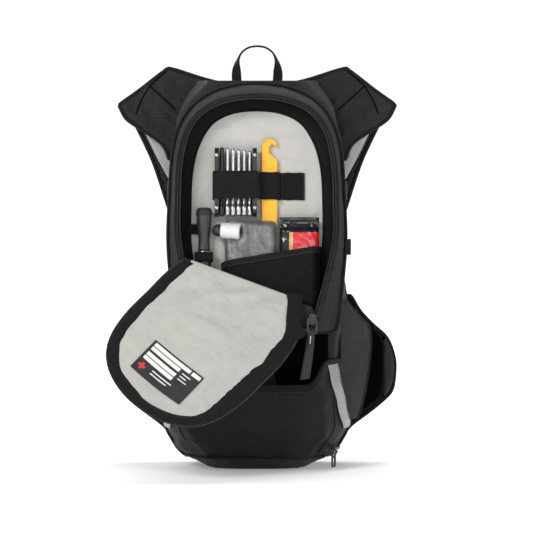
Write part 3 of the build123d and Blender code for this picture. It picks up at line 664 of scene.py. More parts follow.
def ring_at(z, count):
    """Closed section of the compartment at z, anticlockwise from above."""
    half, front, rear = smooth_section(SECTIONS, z)
    corner = [(half - CORNER, front), (half - 3, front + 4), (half + 1, front + 15)]
    right = corner + [((half + rear) / 2 + 1.5, (front + BACK_Y) / 2), (rear, BACK_Y - 8), (rear - 4, BACK_Y)]
    left = [(-x, y) for x, y in reversed(right)]
    line = resample(soften(resample(right + left, count * 2, closed=True), 6), count, closed=True)
    return [Vector((p.x, p.y, z)) for p in line]


levels = [0.6, 3, 7, 11, 15] + [15 + 397 * k / 88 for k in range(1, 89)] + [414, 416]
rows = []
for z in levels:
    ring = ring_at(z, 200)
    if z < 12:
        inset = 1 - 0.10 * ((12 - z) / 12) ** 2
        ring = [Vector((p.x * inset, p.y * inset, z)) for p in ring]
    rows.append(ring)
body_shell = grid("compartment_shell", rows, "pack", ripstop, close_v=True, caps=True, replaces=(
    "compartment_front_panel", "compartment_side_panels", "base_panel"), slot="black_fabric")


def side_only(p):
    """1 on the free sides of the pack, 0 at the back seam and inside the organiser."""
    seam = clamp((BACK_Y - 6 - p.y) / 20)
    low = clamp((p.z - 4) / 12)
    inside = clamp((abs(p.x) - 76) / 12) if p.z > 150 else 1
    return seam * low * inside


ruffle(body_shell, 3.4, (0.012, 0.035, 0.022), 3.5, 3.1, side_only)
ruffle(body_shell, 1.0, (0.05, 0.05, 0.07), 3.0, 9.7, side_only)

# seam welt between the side and back panels
for side, word in SIDES:
    path = []
    for k in range(40):
        z = 14 + 140 * k / 39
        rear = smooth_section(SECTIONS, z)[2]
        path.append(Vector((side * (rear + 0.4), BACK_Y - 4, z)))
    sweep("side_welt_" + word, path, Vector((side, -0.3, 0)).normalized(), round_section(1.5, 8), "pack", binding)

# ---------------------------------------------------------------- stash pocket
STASH = {
    0: (34, -42, 46), 3: (44, -50, 57), 8: (54, -59, 70), 16: (63, -67, 84), 45: (83, -81, 101), 93: (77, -87, 98),
    122: (72, -86, 95),
}


def stash_line(z, count, grow=0.0):
    """Open section of the stash pocket, from its left end round the front to its right end."""
    half, front, rear = smooth_section(STASH, z, 7)
    right = [(half - 22, front - 0.8), (half - 8, front + 3), (half - 0.5, front + 14),
             ((half + rear) / 2 + 1.2, (front - 15) / 2 + 2), (rear - 0.8, -15)]
    line = [(-x, y) for x, y in reversed(right)] + right
    line = soften(resample(line, count * 2), 10, closed=False)
    out = []
    for i, p in enumerate(line):
        ahead, behind = line[min(i + 1, len(line) - 1)], line[max(i - 1, 0)]
        along = (ahead - behind).normalized()
        out.append((p.x + along.y * grow, p.y - along.x * grow))
    return resample(out, count)


def lip_height(x):
    """Top of the stash pocket at x."""
    return min(93 + max(abs(x) - 59, 0) * 1.68, 118)


COLUMNS = 150
outline_100 = stash_line(100, COLUMNS)
tops = [lip_height(p.x) for p in outline_100]
tops = [sum(tops[max(0, min(COLUMNS - 1, i + k))] for k in range(-3, 4)) / 7 for i in range(COLUMNS)]
cache = {}


def stash_point(j, z, grow=0.0):
    """Point of the stash pocket in column j. Its line is worked out once for each half millimetre of height."""
    key = (round(z * 2), grow)
    if key not in cache:
        cache[key] = stash_line(key[0] / 2, COLUMNS, grow)
    p = cache[key][j]
    return Vector((p.x, p.y, z))


rows = [[stash_point(j, 1 + (tops[j] - 1) * (k / 40)) for j in range(COLUMNS)] for k in range(41)]
floor_row = [Vector((p.x * 0.82, p.y * 0.82, 0.8)) for p in rows[0]]
stash = grid("stash_shell", [floor_row] + rows, "pack", nylon, replaces=("stash_pocket",), slot="smooth_fabric")


def stash_mask(p):
    """1 where the stash pocket may crease, 0 along its reflectors, base and lip."""
    calm = clamp((78 - abs(p.x)) / 8) if p.z > 30 else 1
    return calm * clamp((p.z - 5) / 14) * clamp((lip_height(p.x) - 6 - p.z) / 14, 0.15)


ruffle(stash, 3.0, (0.016, 0.02, 0.035), 3.0, 5.4, stash_mask)
ruffle(stash, 1.2, (0.05, 0.04, 0.07), 2.5, 1.3, stash_mask)
thicken(stash, 1.6)
lip = [stash_point(j, tops[j] - 4.2, 0.4) for j in range(COLUMNS)]
lip = resample(soften(lip, 6, closed=False), 130)
outs = [Vector((p.x * 0.35, -60, 0) if abs(p.x) < 60 else (p.x, -55, 0)).normalized() for p in lip]
sweep("stash_lip", lip, outs, flat_section(10.5, 3.0), "pack", binding, slot="binding_tape")
stitches("stash_lip_stitch", [p + o * 1.7 + Vector((0, 0, -3.2)) for p, o in zip(lip, outs)], outs, "pack")
welt = [stash_point(j, 14, 0.6) for j in range(COLUMNS)]
sweep("stash_base_welt", resample(soften(welt, 4, closed=False), 110), Vector((0, 0, 1)), round_section(1.7, 8),
      "pack", binding)
for side, word in SIDES:
    seam = [stash_point(COLUMNS - 28 if side > 0 else 27, 15 + 88 * k / 30, 0.35) for k in range(31)]
    sweep("stash_seam_" + word, seam, Vector((side * 0.8, -0.6, 0)), flat_section(2.4, 1.2), "pack", nylon)
    edge = [stash_point(COLUMNS - 1 if side > 0 else 0, 12 + 104 * k / 30) for k in range(31)]
    sweep("stash_end_" + word, edge, Vector((side, 0, 0)), flat_section(8, 3.2), "pack", binding)

# reflective strips, slanting outwards as they go down
for side, word in SIDES:
    rows = []
    for k in range(30):
        t = k / 29
        z = 116 - 72 * t
        line = stash_line(z, 400, 1.5)
        line = [p for p in line if p.x > 60] if side > 0 else [p for p in reversed(line) if p.x < -60]
        wave = 0.5 * math.sin(t * 15)
        near, far = 74.5 + 18.0 * t + wave, 85.5 + 16.0 * t + wave
        picked = [p for p in line if near <= abs(p.x) <= far]
        row = [Vector((p.x, p.y, z)) for p in resample([Vector((p.x, p.y, 0)) for p in picked], 8)]
        rows.append(row if side > 0 else row[::-1])
    strip = grid("lower_reflector_" + word, rows, "pack", reflective, replaces=("lower_reflectors",), slot="reflective")
    thicken(strip, 0.7, 0.0)

# stash pocket: a near-black, almost unreflecting sheet of painted shade inside its hollow, with one edge of its divider
painted_shade = woven("painted_shade_cloth", (0.0006, 0.0006, 0.0006), (0.0018, 0.0018, 0.0019), 0.9, 0.0, 0.0006, 0.0001)
painted_shade.node_tree.nodes["Principled BSDF"].inputs["Specular IOR Level"].default_value = 0.05
rows = []
for k in range(12):
    z = 70 + 82 * k / 11
    gap = 2.2 + (3 if k < 9 else 0)
    rows.append([Vector((-76 + 152 * j / 30, shell_front(76 * (1 - 2 * j / 30), z) - gap, z)) for j in range(31)])
grid("stash_back_painted_shade", rows, "pack", painted_shade)
divider = [(-60, 76), (26, 76), (21, 94), (10, 128), (-60, 128)]
cloth("stash_divider", resample(divider, 90, closed=True), lambda x, z, d: Vector((x, -66 + (z - 90) * 0.12 - d, z)),
      "pack", nylon, lambda x, z, g: pucker(x, z, 1.2, 4.4), step=5)
pill = [Vector((-3 + 4.5 * math.cos(a), 109.5 + 2.1 * math.sin(a))) for a in (math.pi * 2 * k / 20 for k in range(20))]
plate("stash_toggle", pill, lambda x, z, d: Vector((x, -64.6 - d, z)), 0, 1.8, 0.6, "pack", thread)

# ---------------------------------------------------------------- organiser frame
LEAN = math.atan(40 / 245)
MOUTH = Vector((0, -92, 155))
MOUTH_UP = Vector((0, math.sin(LEAN), math.cos(LEAN)))
MOUTH_OUT = Vector((0, -math.cos(LEAN), math.sin(LEAN)))


def up(z):
    """Distance up the mouth that reaches height z."""
    return (z - 155) / math.cos(LEAN)


def mouth(x, v, depth=0.0):
    """Point at x and v up the mouth, raised by depth."""
    return MOUTH + Vector((x, 0, 0)) + MOUTH_UP * v + MOUTH_OUT * depth


OUTER_ARCH = [(84, 152), (93, 238), (92, 293), (89, 340), (81, 372), (64, 395), (36, 410), (0, 415)]
ZIP_ARCH = [(58, 155), (80, 238), (82, 290), (80, 330), (72, 362), (56, 382.5), (31, 394), (0, 397.5)]
LINING_ARCH = [(56, 160), (69, 238), (70, 290), (68, 325), (61, 352), (47, 374), (26, 385), (0, 388)]


def arch(half, grow=0.0, count=150):
    """Open arch from its right foot over the top to its left foot, (x, v) on the mouth."""
    points = [(x, up(z)) for x, z in half]
    line = catmull(points + [(-x, v) for x, v in reversed(points[:-1])], 10)
    line = [p.to_2d() for p in resample(line, count * 2)]
    out = []
    for i, p in enumerate(line):
        ahead, behind = line[min(i + 1, len(line) - 1)], line[max(i - 1, 0)]
        along = (ahead - behind).normalized()
        out.append(Vector((p.x + along.y * grow, p.y - along.x * grow)))
    return [p.to_2d() for p in resample(out, count)]


def loop(half, grow=0.0, count=150, base=36):
    """Arch closed by a straight foot, with rounded lower corners."""
    line = arch(half, grow, count)
    foot = [line[-1].lerp(line[0], k / (base + 1)) for k in range(1, base + 1)]
    return [p.to_2d() for p in soften(line + foot, 5)]


outer, inner = loop(OUTER_ARCH), loop(ZIP_ARCH, 2.0)
GUSSET = ((-64, -1.5), (-52, -0.6), (-42, -0.2), (-33, 0), (-26, 0), (-21, -0.2), (-17.6, -1.2))
rows = [[mouth(p.x, p.y, d) for p in spread(outer, g)] for d, g in GUSSET]
gusset = grid("organiser_side", rows, "pack", ripstop, close_v=True, replaces=("organiser_gusset",),
              slot="black_fabric")
subdivide(gusset)
ruffle(gusset, 1.6, (0.03, 0.05, 0.03), 3.0, 2.2, lambda p: 1.0)
thicken(gusset, 1.4)
rows = []
for k in range(6):
    t = k / 5
    rows.append([mouth(a.x + (b.x - a.x) * t, a.y + (b.y - a.y) * t, -20.0 + 20.0 * t + 2.6 * math.sin(math.pi * t))
                 for a, b in zip(outer, inner)])
band = grid("organiser_band", rows, "pack", ripstop, close_v=True, replaces=("organiser_front_band",),
            slot="black_fabric")
ruffle(band, 0.9, (0.04, 0.04, 0.04), 3.0, 7.7, lambda p: 1.0)
thicken(band, 1.2)
piping = [mouth(p.x, p.y, -19.5) for p in loop(OUTER_ARCH, 1.4, 220)]
sweep("organiser_piping_cord", piping, MOUTH_OUT, round_section(1.75, 10), "pack", binding, closed=True,
      replaces=("organiser_piping",), slot="binding_tape")


def toothed(name, path, out, body, closed=False, pitch=1.7, radius=0.82, **more):
    """Coil of a zip: a thin tube that swells at each tooth."""
    length = sum((Vector(b) - Vector(a)).length for a, b in zip(path, path[1:]))
    count = int(length / pitch) * 3
    line = resample(path, count, closed=closed)
    rows = []
    for i, p in enumerate(line):
        ahead = line[(i + 1) % count] if closed or i < count - 1 else p
        behind = line[i - 1] if closed or i else p
        tangent = (ahead - behind).normalized()
        side = out.cross(tangent).normalized()
        r = radius * (1.12 if i % 3 else 0.66)
        rows.append([p + side * a * r + out * b * r for a, b in round_section(1, 6)])
    return grid(name, rows, body, coil, close_u=closed, close_v=True, caps=not closed, **more)


zip_line = arch(ZIP_ARCH, -0.7, 240)
toothed("organiser_zip_teeth", [mouth(p.x, p.y, -0.9) for p in zip_line], MOUTH_OUT, "pack",
        replaces=("organiser_zip_coil",), slot="zip")
ZIP_TAPE = ((-1.2, -1.6), (1.5, -1.2), (4.6, -0.9), (5.2, -1.6))
rows = [[mouth(p.x, p.y, d) for p in arch(ZIP_ARCH, g, 160)] for g, d in ZIP_TAPE]
grid("organiser_zip_tape", rows, "pack", binding)


def on_front(x, v, grow):
    """Point of the compartment front behind a mouth point, raised by grow."""
    depth = -30.0
    for _ in range(5):
        z = 155 + v * math.cos(LEAN) + depth * math.sin(LEAN)
        y = shell_front(x, z) - grow
        depth = ((-92 + v * math.sin(LEAN)) - y) / math.cos(LEAN)
    return Vector((x, y, z))


# each fold's middle and direction on the mouth, and its half length
BOARD_FOLDS = (
    (62, 128, 0.75, 0.66, 20), (58, 108, 0.9, 0.42, 22), (66, 92, 0.55, 0.83, 18), (-62, 120, 0.8, -0.6, 16),
    (-58, 150, 0.6, 0.8, 18), (48, 205, 0.5, 0.86, 24), (-40, 212, 0.7, -0.7, 22),
)


def board_crease(x, v):
    """Pulled folds of the lining beside the tool band and the pouch."""
    height = 0.0
    for px, pv, dx, dz, reach in BOARD_FOLDS:
        along = (x - px) * dx + (v - pv) * dz
        off = (x - px) * dz - (v - pv) * dx
        height += 2.2 * math.exp(-((off / 3.0) ** 2) - (along / reach) ** 2)
    return height


def board_relief(x, v, g):
    """Relief of the light lining. It stays flat where the tools slide and under the rim tape."""
    free = min(max((abs(x - 2) - 52) / 8, (v - up(378)) / 8, 0.06), 1)
    return 0.7 + (2.6 * max(pucker(x, v), -0.25) + board_crease(x, v)) * clamp((g - 21) / 8) * free


cloth("organiser_back_lining", loop(OUTER_ARCH, -4.5, 110), lambda x, v, d: on_front(x, v, 1.3 + d), "pack", lining,
      board_relief, step=3.2, replaces=("organiser_lining",), slot="lining_fabric")
line_in, line_out = arch(LINING_ARCH, 0, 150), arch(OUTER_ARCH, -3.4, 150)
rows = []
for k in range(7):
    t = k / 6
    raised = 2.6 + 1.6 * math.sin(math.pi * t)
    rows.append([on_front(p.x + (q.x - p.x) * t, p.y + (q.y - p.y) * t, raised) for p, q in zip(line_out, line_in)])
grid("organiser_rim_tape", rows, "pack", elastic, replaces=("organiser_inner_binding",), slot="binding_tape")
rim = [on_front(p.x, p.y, 3.6) for p in arch(LINING_ARCH, 0.6, 140)]
sweep("organiser_rim_edge", rim, MOUTH_OUT, round_section(0.9, 6), "pack", binding)

# ---------------------------------------------------------------- lower panel and flap
FOLD_A, FOLD_B = Vector((-84, up(231))), Vector((56, up(180)))
FOLD_ALONG = (FOLD_B - FOLD_A).normalized()
FOLD_NORMAL = Vector((-FOLD_ALONG.y, FOLD_ALONG.x))
HINGE = mouth(FOLD_A.x, FOLD_A.y)
HINGE_AXIS = (mouth(FOLD_B.x, FOLD_B.y) - HINGE).normalized()
FOLDED_DOWN = math.radians(156)
OPEN = Matrix.Translation(HINGE) @ Matrix.Rotation(FOLDED_DOWN, 4, HINGE_AXIS) @ Matrix.Translation(-HINGE)
SEAM_GAP = 2.4


def flap_place(x, v, depth=0.0):
    """Point of the open flap that lies on the mouth at (x, v) when the flap is closed."""
    return OPEN @ mouth(x, v, depth)


def above_fold(p):
    """Distance above the fold line on the mouth."""
    return (Vector(p) - FOLD_A).dot(FOLD_NORMAL)


zone = arch(ZIP_ARCH, -1.9, 220)
below = [p for p in zone if above_fold(p) < -SEAM_GAP]
right_part = [p for p in below if p.x > 0]
left_part = [p for p in below if p.x < 0]
seam = [FOLD_A + FOLD_ALONG * s - FOLD_NORMAL * SEAM_GAP for s in range(0, 160, 4)]
seam = [p for p in seam if left_part[0].x + 1 < p.x < right_part[-1].x - 1]
lower_outline = right_part + list(reversed(seam)) + left_part


def lower_relief(x, v, g):
    """The fixed panel below the fold: flat along its seams, slightly domed inside them."""
    inside = max(g - 4, 0)
    return -1.2 + 1.4 * min(inside / 20, 1) + pucker(x, v, 1.2, 3.0) * min(inside / 10, 1)


lower_panel = cloth("organiser_lower_front", lower_outline, mouth, "pack", ripstop, lower_relief, step=4,
                    replaces=("organiser_lower_panel",), slot="black_fabric")
thicken(lower_panel, 1.2)


def flap_outline(grow, seam_gap, count=260):
    """The flap's outline in its closed place, without the corner left for the slider."""
    edge = arch(ZIP_ARCH, grow, 300)
    corner_a = Vector((80 + grow, up(211)))
    corner_b = Vector((62.5 + grow * 0.5, up(206)))
    corner_c = Vector((46.5 + grow * 0.5, up(180.5)))
    edge = [p for p in edge if above_fold(p) > seam_gap and (p.x < 0 or p.y > corner_a.y)]
    last = edge[-1]
    seam = [FOLD_A + FOLD_ALONG * s + FOLD_NORMAL * seam_gap for s in range(0, 160, 3)]
    seam = [p for p in seam if last.x + 2 < p.x < corner_c.x]
    return [p.to_2d() for p in resample(edge + seam + [corner_c, corner_b], count, closed=True)]


def flap_sag(x, v):
    """Slow waves of the open flap, common to all its layers."""
    s = (Vector((x, v)) - FOLD_A).dot(FOLD_ALONG)
    h = above_fold((x, v))
    sag = 3.2 * math.sin(s * 0.038 + 0.6) * min(h / 60, 1) + 2.2 * math.sin(h * 0.045 + s * 0.02) * min(h / 40, 1)
    return max(sag, -0.4 - max(v - up(262), 0) * 0.06)


panel_outline = flap_outline(-3.6, 2.2)
panel = cloth("flap_outer_panel", panel_outline, flap_place, "flap", ripstop,
              lambda x, v, g: -0.8 + flap_sag(x, v) + 1.2 * pucker(x, v, 1.0, 1.0) * min(g / 12, 1),
              replaces=("flap_panel",), slot="black_fabric")
thicken(panel, 1.2)
lining_outline = flap_outline(-13.0, 4.0)


def lining_depth(x, v, g):
    """Depth of the flap's lining: slow dents and small creases, calm under the card."""
    card = min(max((abs(x + 2) - 36) / 14, (abs(v - up(345.5)) - 23) / 14, 0), 1)
    dents = 5.5 * max(pucker(x, v, 0.75, 6.0), -0.12) * min(g / 16, 1)
    dents += 1.4 * max(pucker(x, v, 2.2, 8.0), 0) * min(g / 8, 1)
    room = 5.2 + max(v - up(266), 0) * 0.14
    return min(max(-3.0 + flap_sag(x, v) - dents * card, -room), flap_sag(x, v) - 2.6)


flap_inside = cloth("flap_inner_lining", lining_outline, flap_place, "flap", lining_shaded_copy, lining_depth, step=3.0,
                    replaces=("flap_lining",), slot="lining_fabric")

CORNER_TAPE = [(45, 179), (62.5, 207), (79, 215), (72, 230), (54, 219), (38, 196), (30, 188)]
corner_tape = resample([Vector((x, up(z))) for x, z in CORNER_TAPE], 70, closed=True)
cloth("flap_corner_tape", corner_tape, flap_place, "flap", elastic,
      lambda x, v, g: -4.0 + flap_sag(x, v) - 0.5 * min(g / 3, 1), step=3)


def on_flap_edge(p):
    """True for points of an arch that run along the flap, between the fold and the slider's corner."""
    return above_fold(p) > 2.0 and (p.x < 0 or p.y > up(212))


def flap_band(name, g0, g1, low, high, material, columns=7, wobble=0.0, **more):
    """Tape along the flap's zip edge, from inset g0 to g1, domed from low to high."""
    pairs = [(p, q) for p, q in zip(arch(ZIP_ARCH, g0, 230), arch(ZIP_ARCH, g1, 230)) if on_flap_edge(p)]
    rows = []
    for k in range(columns):
        t = k / (columns - 1)
        row = []
        for p, q in pairs:
            wide = clamp((p.x - 20) / 35) * clamp((up(385) - p.y) / 40)
            loose = 1 + wobble * (noise.noise(Vector((q.x * 0.045, q.y * 0.045, 7.0))) + 1.7 * wide)
            x, v = p.x + (q.x - p.x) * t * loose, p.y + (q.y - p.y) * t * loose
            wave = 0.35 * noise.noise(Vector((x * 0.12, v * 0.12, 2.0)))
            row.append(flap_place(x, v, low + (high - low) * math.sin(math.pi * t) + flap_sag(x, v) + wave))
        rows.append(row)
    return grid(name, rows, "flap", material, **more)


flap_band("flap_rim_tape", -4.6, -15.2, -3.0, -4.8, elastic, wobble=0.35, replaces=("flap_rim_binding",),
          slot="binding_tape")
flap_band("flap_zip_tape", -3.4, -5.4, -1.5, -2.0, binding, columns=4)
flap_band("flap_rim_back", -3.4, -7.0, -0.4, 0.6, binding, columns=5)
teeth = [p for p in arch(ZIP_ARCH, -2.9, 260) if on_flap_edge(p)]
toothed("flap_zip_teeth", [flap_place(p.x, p.y, -1.0 + flap_sag(p.x, p.y)) for p in teeth],
        OPEN.to_3x3() @ MOUTH_OUT, "flap", replaces=("flap_zip_coil",), slot="zip")

card_black = moulded("card_black", (0.014, 0.014, 0.015), (0.028, 0.028, 0.03), 0.45)


def card_place(x, z, lift):
    """Point of the flap's card, lifted off the lining."""
    return flap_place(x, up(z), -3.3 + flap_sag(x, up(z)) - lift)


def card_piece(name, x0, x1, z0, z1, lift, material, **more):
    """Thin print on the flap's card, bent with the lining."""
    rows = [[card_place(x0 + (x1 - x0) * i / 12, z0 + (z1 - z0) * j / 8, lift) for j in range(9)] for i in range(13)]
    return grid(name, rows, "flap", material, **more)


card_piece("flap_card", -35, 31, 325, 366, 0.3, card_black, replaces=("label_card",), slot="label")
CARD_BARS = (
    (-32, 16, 327.0, 331.4), (18, 29, 327.0, 331.4), (-32, 6, 332.4, 336.8), (-32, 6, 339.6, 344.0),
    (-32, 6, 345.0, 349.4), (10, 21, 335.0, 336.2), (10, 18, 338.8, 340.0), (10, 21, 342.6, 343.8),
    (-15, 10, 353.0, 354.3), (-15, 6, 356.8, 358.1),
)
for k, bar in enumerate(CARD_BARS):
    card_piece(f"flap_card_bar_{k + 1}", *bar, 0.45, pale_print)
card_piece("flap_card_cross_1", -31, -23, 355.6, 358.4, 0.45, red_print)
card_piece("flap_card_cross_2", -28.4, -25.6, 353.0, 361.0, 0.45, red_print)

# strips across the fold: their lower edge stays on the pack, and their upper edge turns with the flap
for name, material, gap, low, deep, first, last in (
        ("fold_outer", ripstop, 3.4, 0.0, 1.4, 6, 142), ("fold_lining", lining_shaded_copy, 4.5, -2.6, 2.8, 16, 126)):
    bases = [FOLD_A + FOLD_ALONG * s for s in range(first, last, 4)]
    crest = [(mouth(p.x, p.y, low) + flap_place(p.x, p.y, low)) / 2 for p in bases]
    rows = []
    for k in range(7):
        moved = [p + FOLD_NORMAL * (gap * (k - 3) / 3) for p in bases]
        layer = mouth if k < 3 else flap_place
        rows.append(crest if k == 3 else [layer(q.x, q.y, -deep) for q in moved])
    strip = grid(name, rows, None, material)
    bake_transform(strip)


# ---------------------------------------------------------------- back panel, yoke and hip wings
def mirrored(outline, side):
    """The outline for the right side, or its mirror image for the left, both anticlockwise."""
    return [Vector(p) for p in outline] if side > 0 else [Vector((-p[0], p[1])) for p in reversed(outline)]


def symmetric(half, wider=1.0, lower=0.0):
    """Closed outline from its right half, listed from the bottom up."""
    half = [(x * wider, z - lower) for x, z in half]
    return [Vector(p) for p in half] + [Vector((-x, z)) for x, z in reversed(half)]


def facing_front(y):
    """Upright plane at y, with depth towards the front."""
    return lambda x, z, d: Vector((x, y - d, z))


# painted highlight: a lighter cloth for the lit outer edge of each hip wing
wing_edge_highlight_cloth = woven("wing_edge_highlight_cloth", (0.016, 0.016, 0.017), (0.042, 0.042, 0.044), 0.6, 0.05, 0.0006, 0.00008)
BACK_HALF = [(56, 3), (84, 12), (106, 44), (115, 100), (105, 151), (96, 195), (91, 240), (93, 330)]
YOKE_HALF = [(96, 330.5), (103, 347), (122, 361), (141, 374), (148.6, 387), (150, 390.6), (147.4, 394), (128, 408),
             (101, 429), (92, 432), (50, 419), (14, 412.5)]
WING = [(85, 24), (104, 39.5), (125, 55), (140, 67.5), (149, 78), (152, 97), (151.5, 114), (143.5, 136), (128.5, 150),
        (114, 165), (98, 184), (90, 118)]
POCKET_EDGE = [(160, 112), (150, 121), (135, 123.4), (121, 123), (100, 120.5), (69, 114.5), (52, 108)]
POCKET_SHADE = [(104, 52), (120, 60), (134, 72), (137, 100), (135, 136), (120, 152), (104, 160)]
HIP_HIGHLIGHT = [(137.5, 70.5), (144, 77), (148.2, 88), (149.6, 102), (149, 114), (145.5, 126), (139.5, 137.5), (137.0, 136)]
BACK_FACE = 49.3  # y of the back panel's rear face

back_outline = soften(resample(symmetric(BACK_HALF), 160, closed=True), 3)
back_foam = cushion("back_panel_foam", back_outline, facing_front(BACK_FACE), "pack", spacer, 6.0, 4.0,
                    lambda x, z, g, face: 0.5 * pucker(x, z, 1.4, 2.0), step=6, replaces=("back_panel",), slot="mesh")
for k, (x, z) in enumerate(((46, 90), (-46, 90), (44, 185), (-44, 185), (0, 285))):
    outline = []
    for i, (sx, sz) in enumerate(((1, -1), (1, 1), (-1, 1), (-1, -1))):
        for s in range(5):
            a = math.radians(-90 + 90 * i + 22.5 * s)
            outline.append(Vector((x + sx * 14.5 + 14 * math.cos(a), z + sz * 23.5 + 14 * math.sin(a))))
    made = cushion(f"spacer_pad_{k + 1}", outline, facing_front(54.2), "pack", spacer, 5.4, 9.0, step=4,
                   replaces=("back_spacer_pads",), slot="mesh")

yoke_outline = resample(catmull(symmetric(YOKE_HALF, 1.014, 1.2), 6, closed=False), 260, closed=True)
YOKE_SEAMS = ([(117, 410.5), (89, 385)], [(99, 426.5), (117, 410.5), (126, 396), (132, 380)])


def yoke_relief(x, z, g, face):
    """Folds that run down and out along each wing of the yoke, with small wrinkles over them."""
    slant, across = abs(x) * 0.72 + z * 0.69, z * 0.72 - abs(x) * 0.69
    fold = 4.6 * pucker(slant * 0.35, across * 1.5, 1.5, 11.0 if x > 0 else 23.0)
    fold += 1.2 * pucker(x * 1.4, z * 0.7, 2.0, 5.0)
    return fold * min(g / 14, 1)


cushion("yoke_panel", yoke_outline, facing_front(BACK_FACE), "pack", ripstop, 6.4, 4.0, yoke_relief, step=2.6,
        replaces=("shoulder_yoke",), slot="black_fabric")
yoke_tree = kdtree.KDTree(len(yoke_outline))
for i, p in enumerate(yoke_outline):
    yoke_tree.insert((p.x, p.y, 0), i)
yoke_tree.balance()
# the yoke's seams are lines of the near-black painted shade cloth, as shade along their grooves
for k, (side, points) in enumerate((side, points) for side in (1, -1) for points in YOKE_SEAMS):
    path = []
    for p in resample([(side * x, z) for x, z in points], 40):
        gap = yoke_tree.find((p.x, p.y, 0))[2]
        path.append(Vector((p.x, 42.55 - yoke_relief(p.x, p.y, gap, 1), p.y)))
    sweep(f"yoke_seam_{k + 1}", path, FRONT, flat_section(1.4, 0.9), "pack", painted_shade)
edge_path = [Vector((p.x, 46.3, p.y)) for p in resample(spread(yoke_outline, -2.3), 260, closed=True)]
sweep("yoke_edge_tape", edge_path, FRONT, flat_section(5.4, 7.6), "pack", binding, closed=True,
      replaces=("panel_edge_binding",), slot="binding_tape")

for side, word in SIDES:
    outline = mirrored(soften(resample(catmull(WING, 5, closed=True), 130, closed=True), 2), side)
    wing = cushion("hip_wing_pad_" + word, outline, facing_front(50.3), "pack", fine_mesh, 6.8, 4.0,
                   lambda x, z, g, face: 0.9 * pucker(x, z, 1.6, 8.0) * min(g / 8, 1), step=3.2,
                   replaces=("hip_wings",), slot="mesh")
    path = [Vector((p.x, 46.8, p.y)) for p in resample(spread(outline, -2.0), 170, closed=True)]
    sweep("hip_wing_tape_" + word, path, FRONT, flat_section(4.8, 8.0), "pack", binding, closed=True)

    # side pocket: a cloth panel that leaves the body and stands off the hip wing
    rows = []
    for z, far in catmull(POCKET_EDGE, 4):
        row = []
        for j in range(17):
            t = j / 16
            x = 89.5 + (far - 89.5) * t
            y = -36.4 + (x - 89.5) * 1.62
            belly = 3.4 * math.sin(math.pi * t) + 0.8 * noise.noise(Vector((x * 0.07, z * 0.05, 3)))
            row.append(Vector((side * (x + 0.85 * belly * 0.6), y - 0.5 * belly * 0.6, z)))
        rows.append(row)
    top_row = [Vector((side * (89 + 8 * j / 16), -36 + 11 * j / 16, 181)) for j in range(17)]
    rows = [top_row, [p.lerp(q, 0.5) for p, q in zip(top_row, rows[0])]] + rows
    rim = [row[-1] for row in rows[1:]]
    if side > 0:
        rows = [row[::-1] for row in rows]
    pocket = grid("side_pocket_" + word, rows, "pack", ripstop, replaces=("side_mesh_pockets",), slot="mesh")
    subdivide(pocket)
    thicken(pocket, 0.8)
    sweep("side_pocket_hem_" + word, resample(rim, 60), Vector((side * 44, -27, 0)).normalized(),
          flat_section(3.2, 1.8), "pack", binding)
    # painted shade: a near-black sheet inside the side pocket
    dark = resample(mirrored(POCKET_SHADE, side), 70, closed=True)
    cloth("hip_pocket_painted_shade_" + word, dark, facing_front(42.4), "pack", painted_shade, step=6)
    # painted highlight: a thin lighter pad along the hip wing's outer edge
    pale = resample(mirrored(HIP_HIGHLIGHT, side), 90, closed=True)
    hip_wing_highlight = cushion("hip_wing_highlight_" + word, pale, facing_front(43.0), "pack", wing_edge_highlight_cloth, 2.4, 2.0, step=2.5)

# ---------------------------------------------------------------- harness
STRAP = [(50, 400), (58, 350), (56, 300), (62, 262), (74, 246), (88, 248), (96, 268), (113, 320), (125, 348),
         (137, 372), (146, 390), (128, 406), (101, 426), (72, 424)]
REFLECTOR = [(124, 362), (106, 353), (97, 333), (92.5, 328), (92.5, 306), (97, 309), (110, 333)]


def strap_relief(x, z, g, face):
    """Sewn channel that runs round the strap, 11 mm inside its edge."""
    return -1.2 * math.exp(-(((g - 11) / 2.2) ** 2)) + 0.6 * pucker(x, z, 1.3, 4.0)


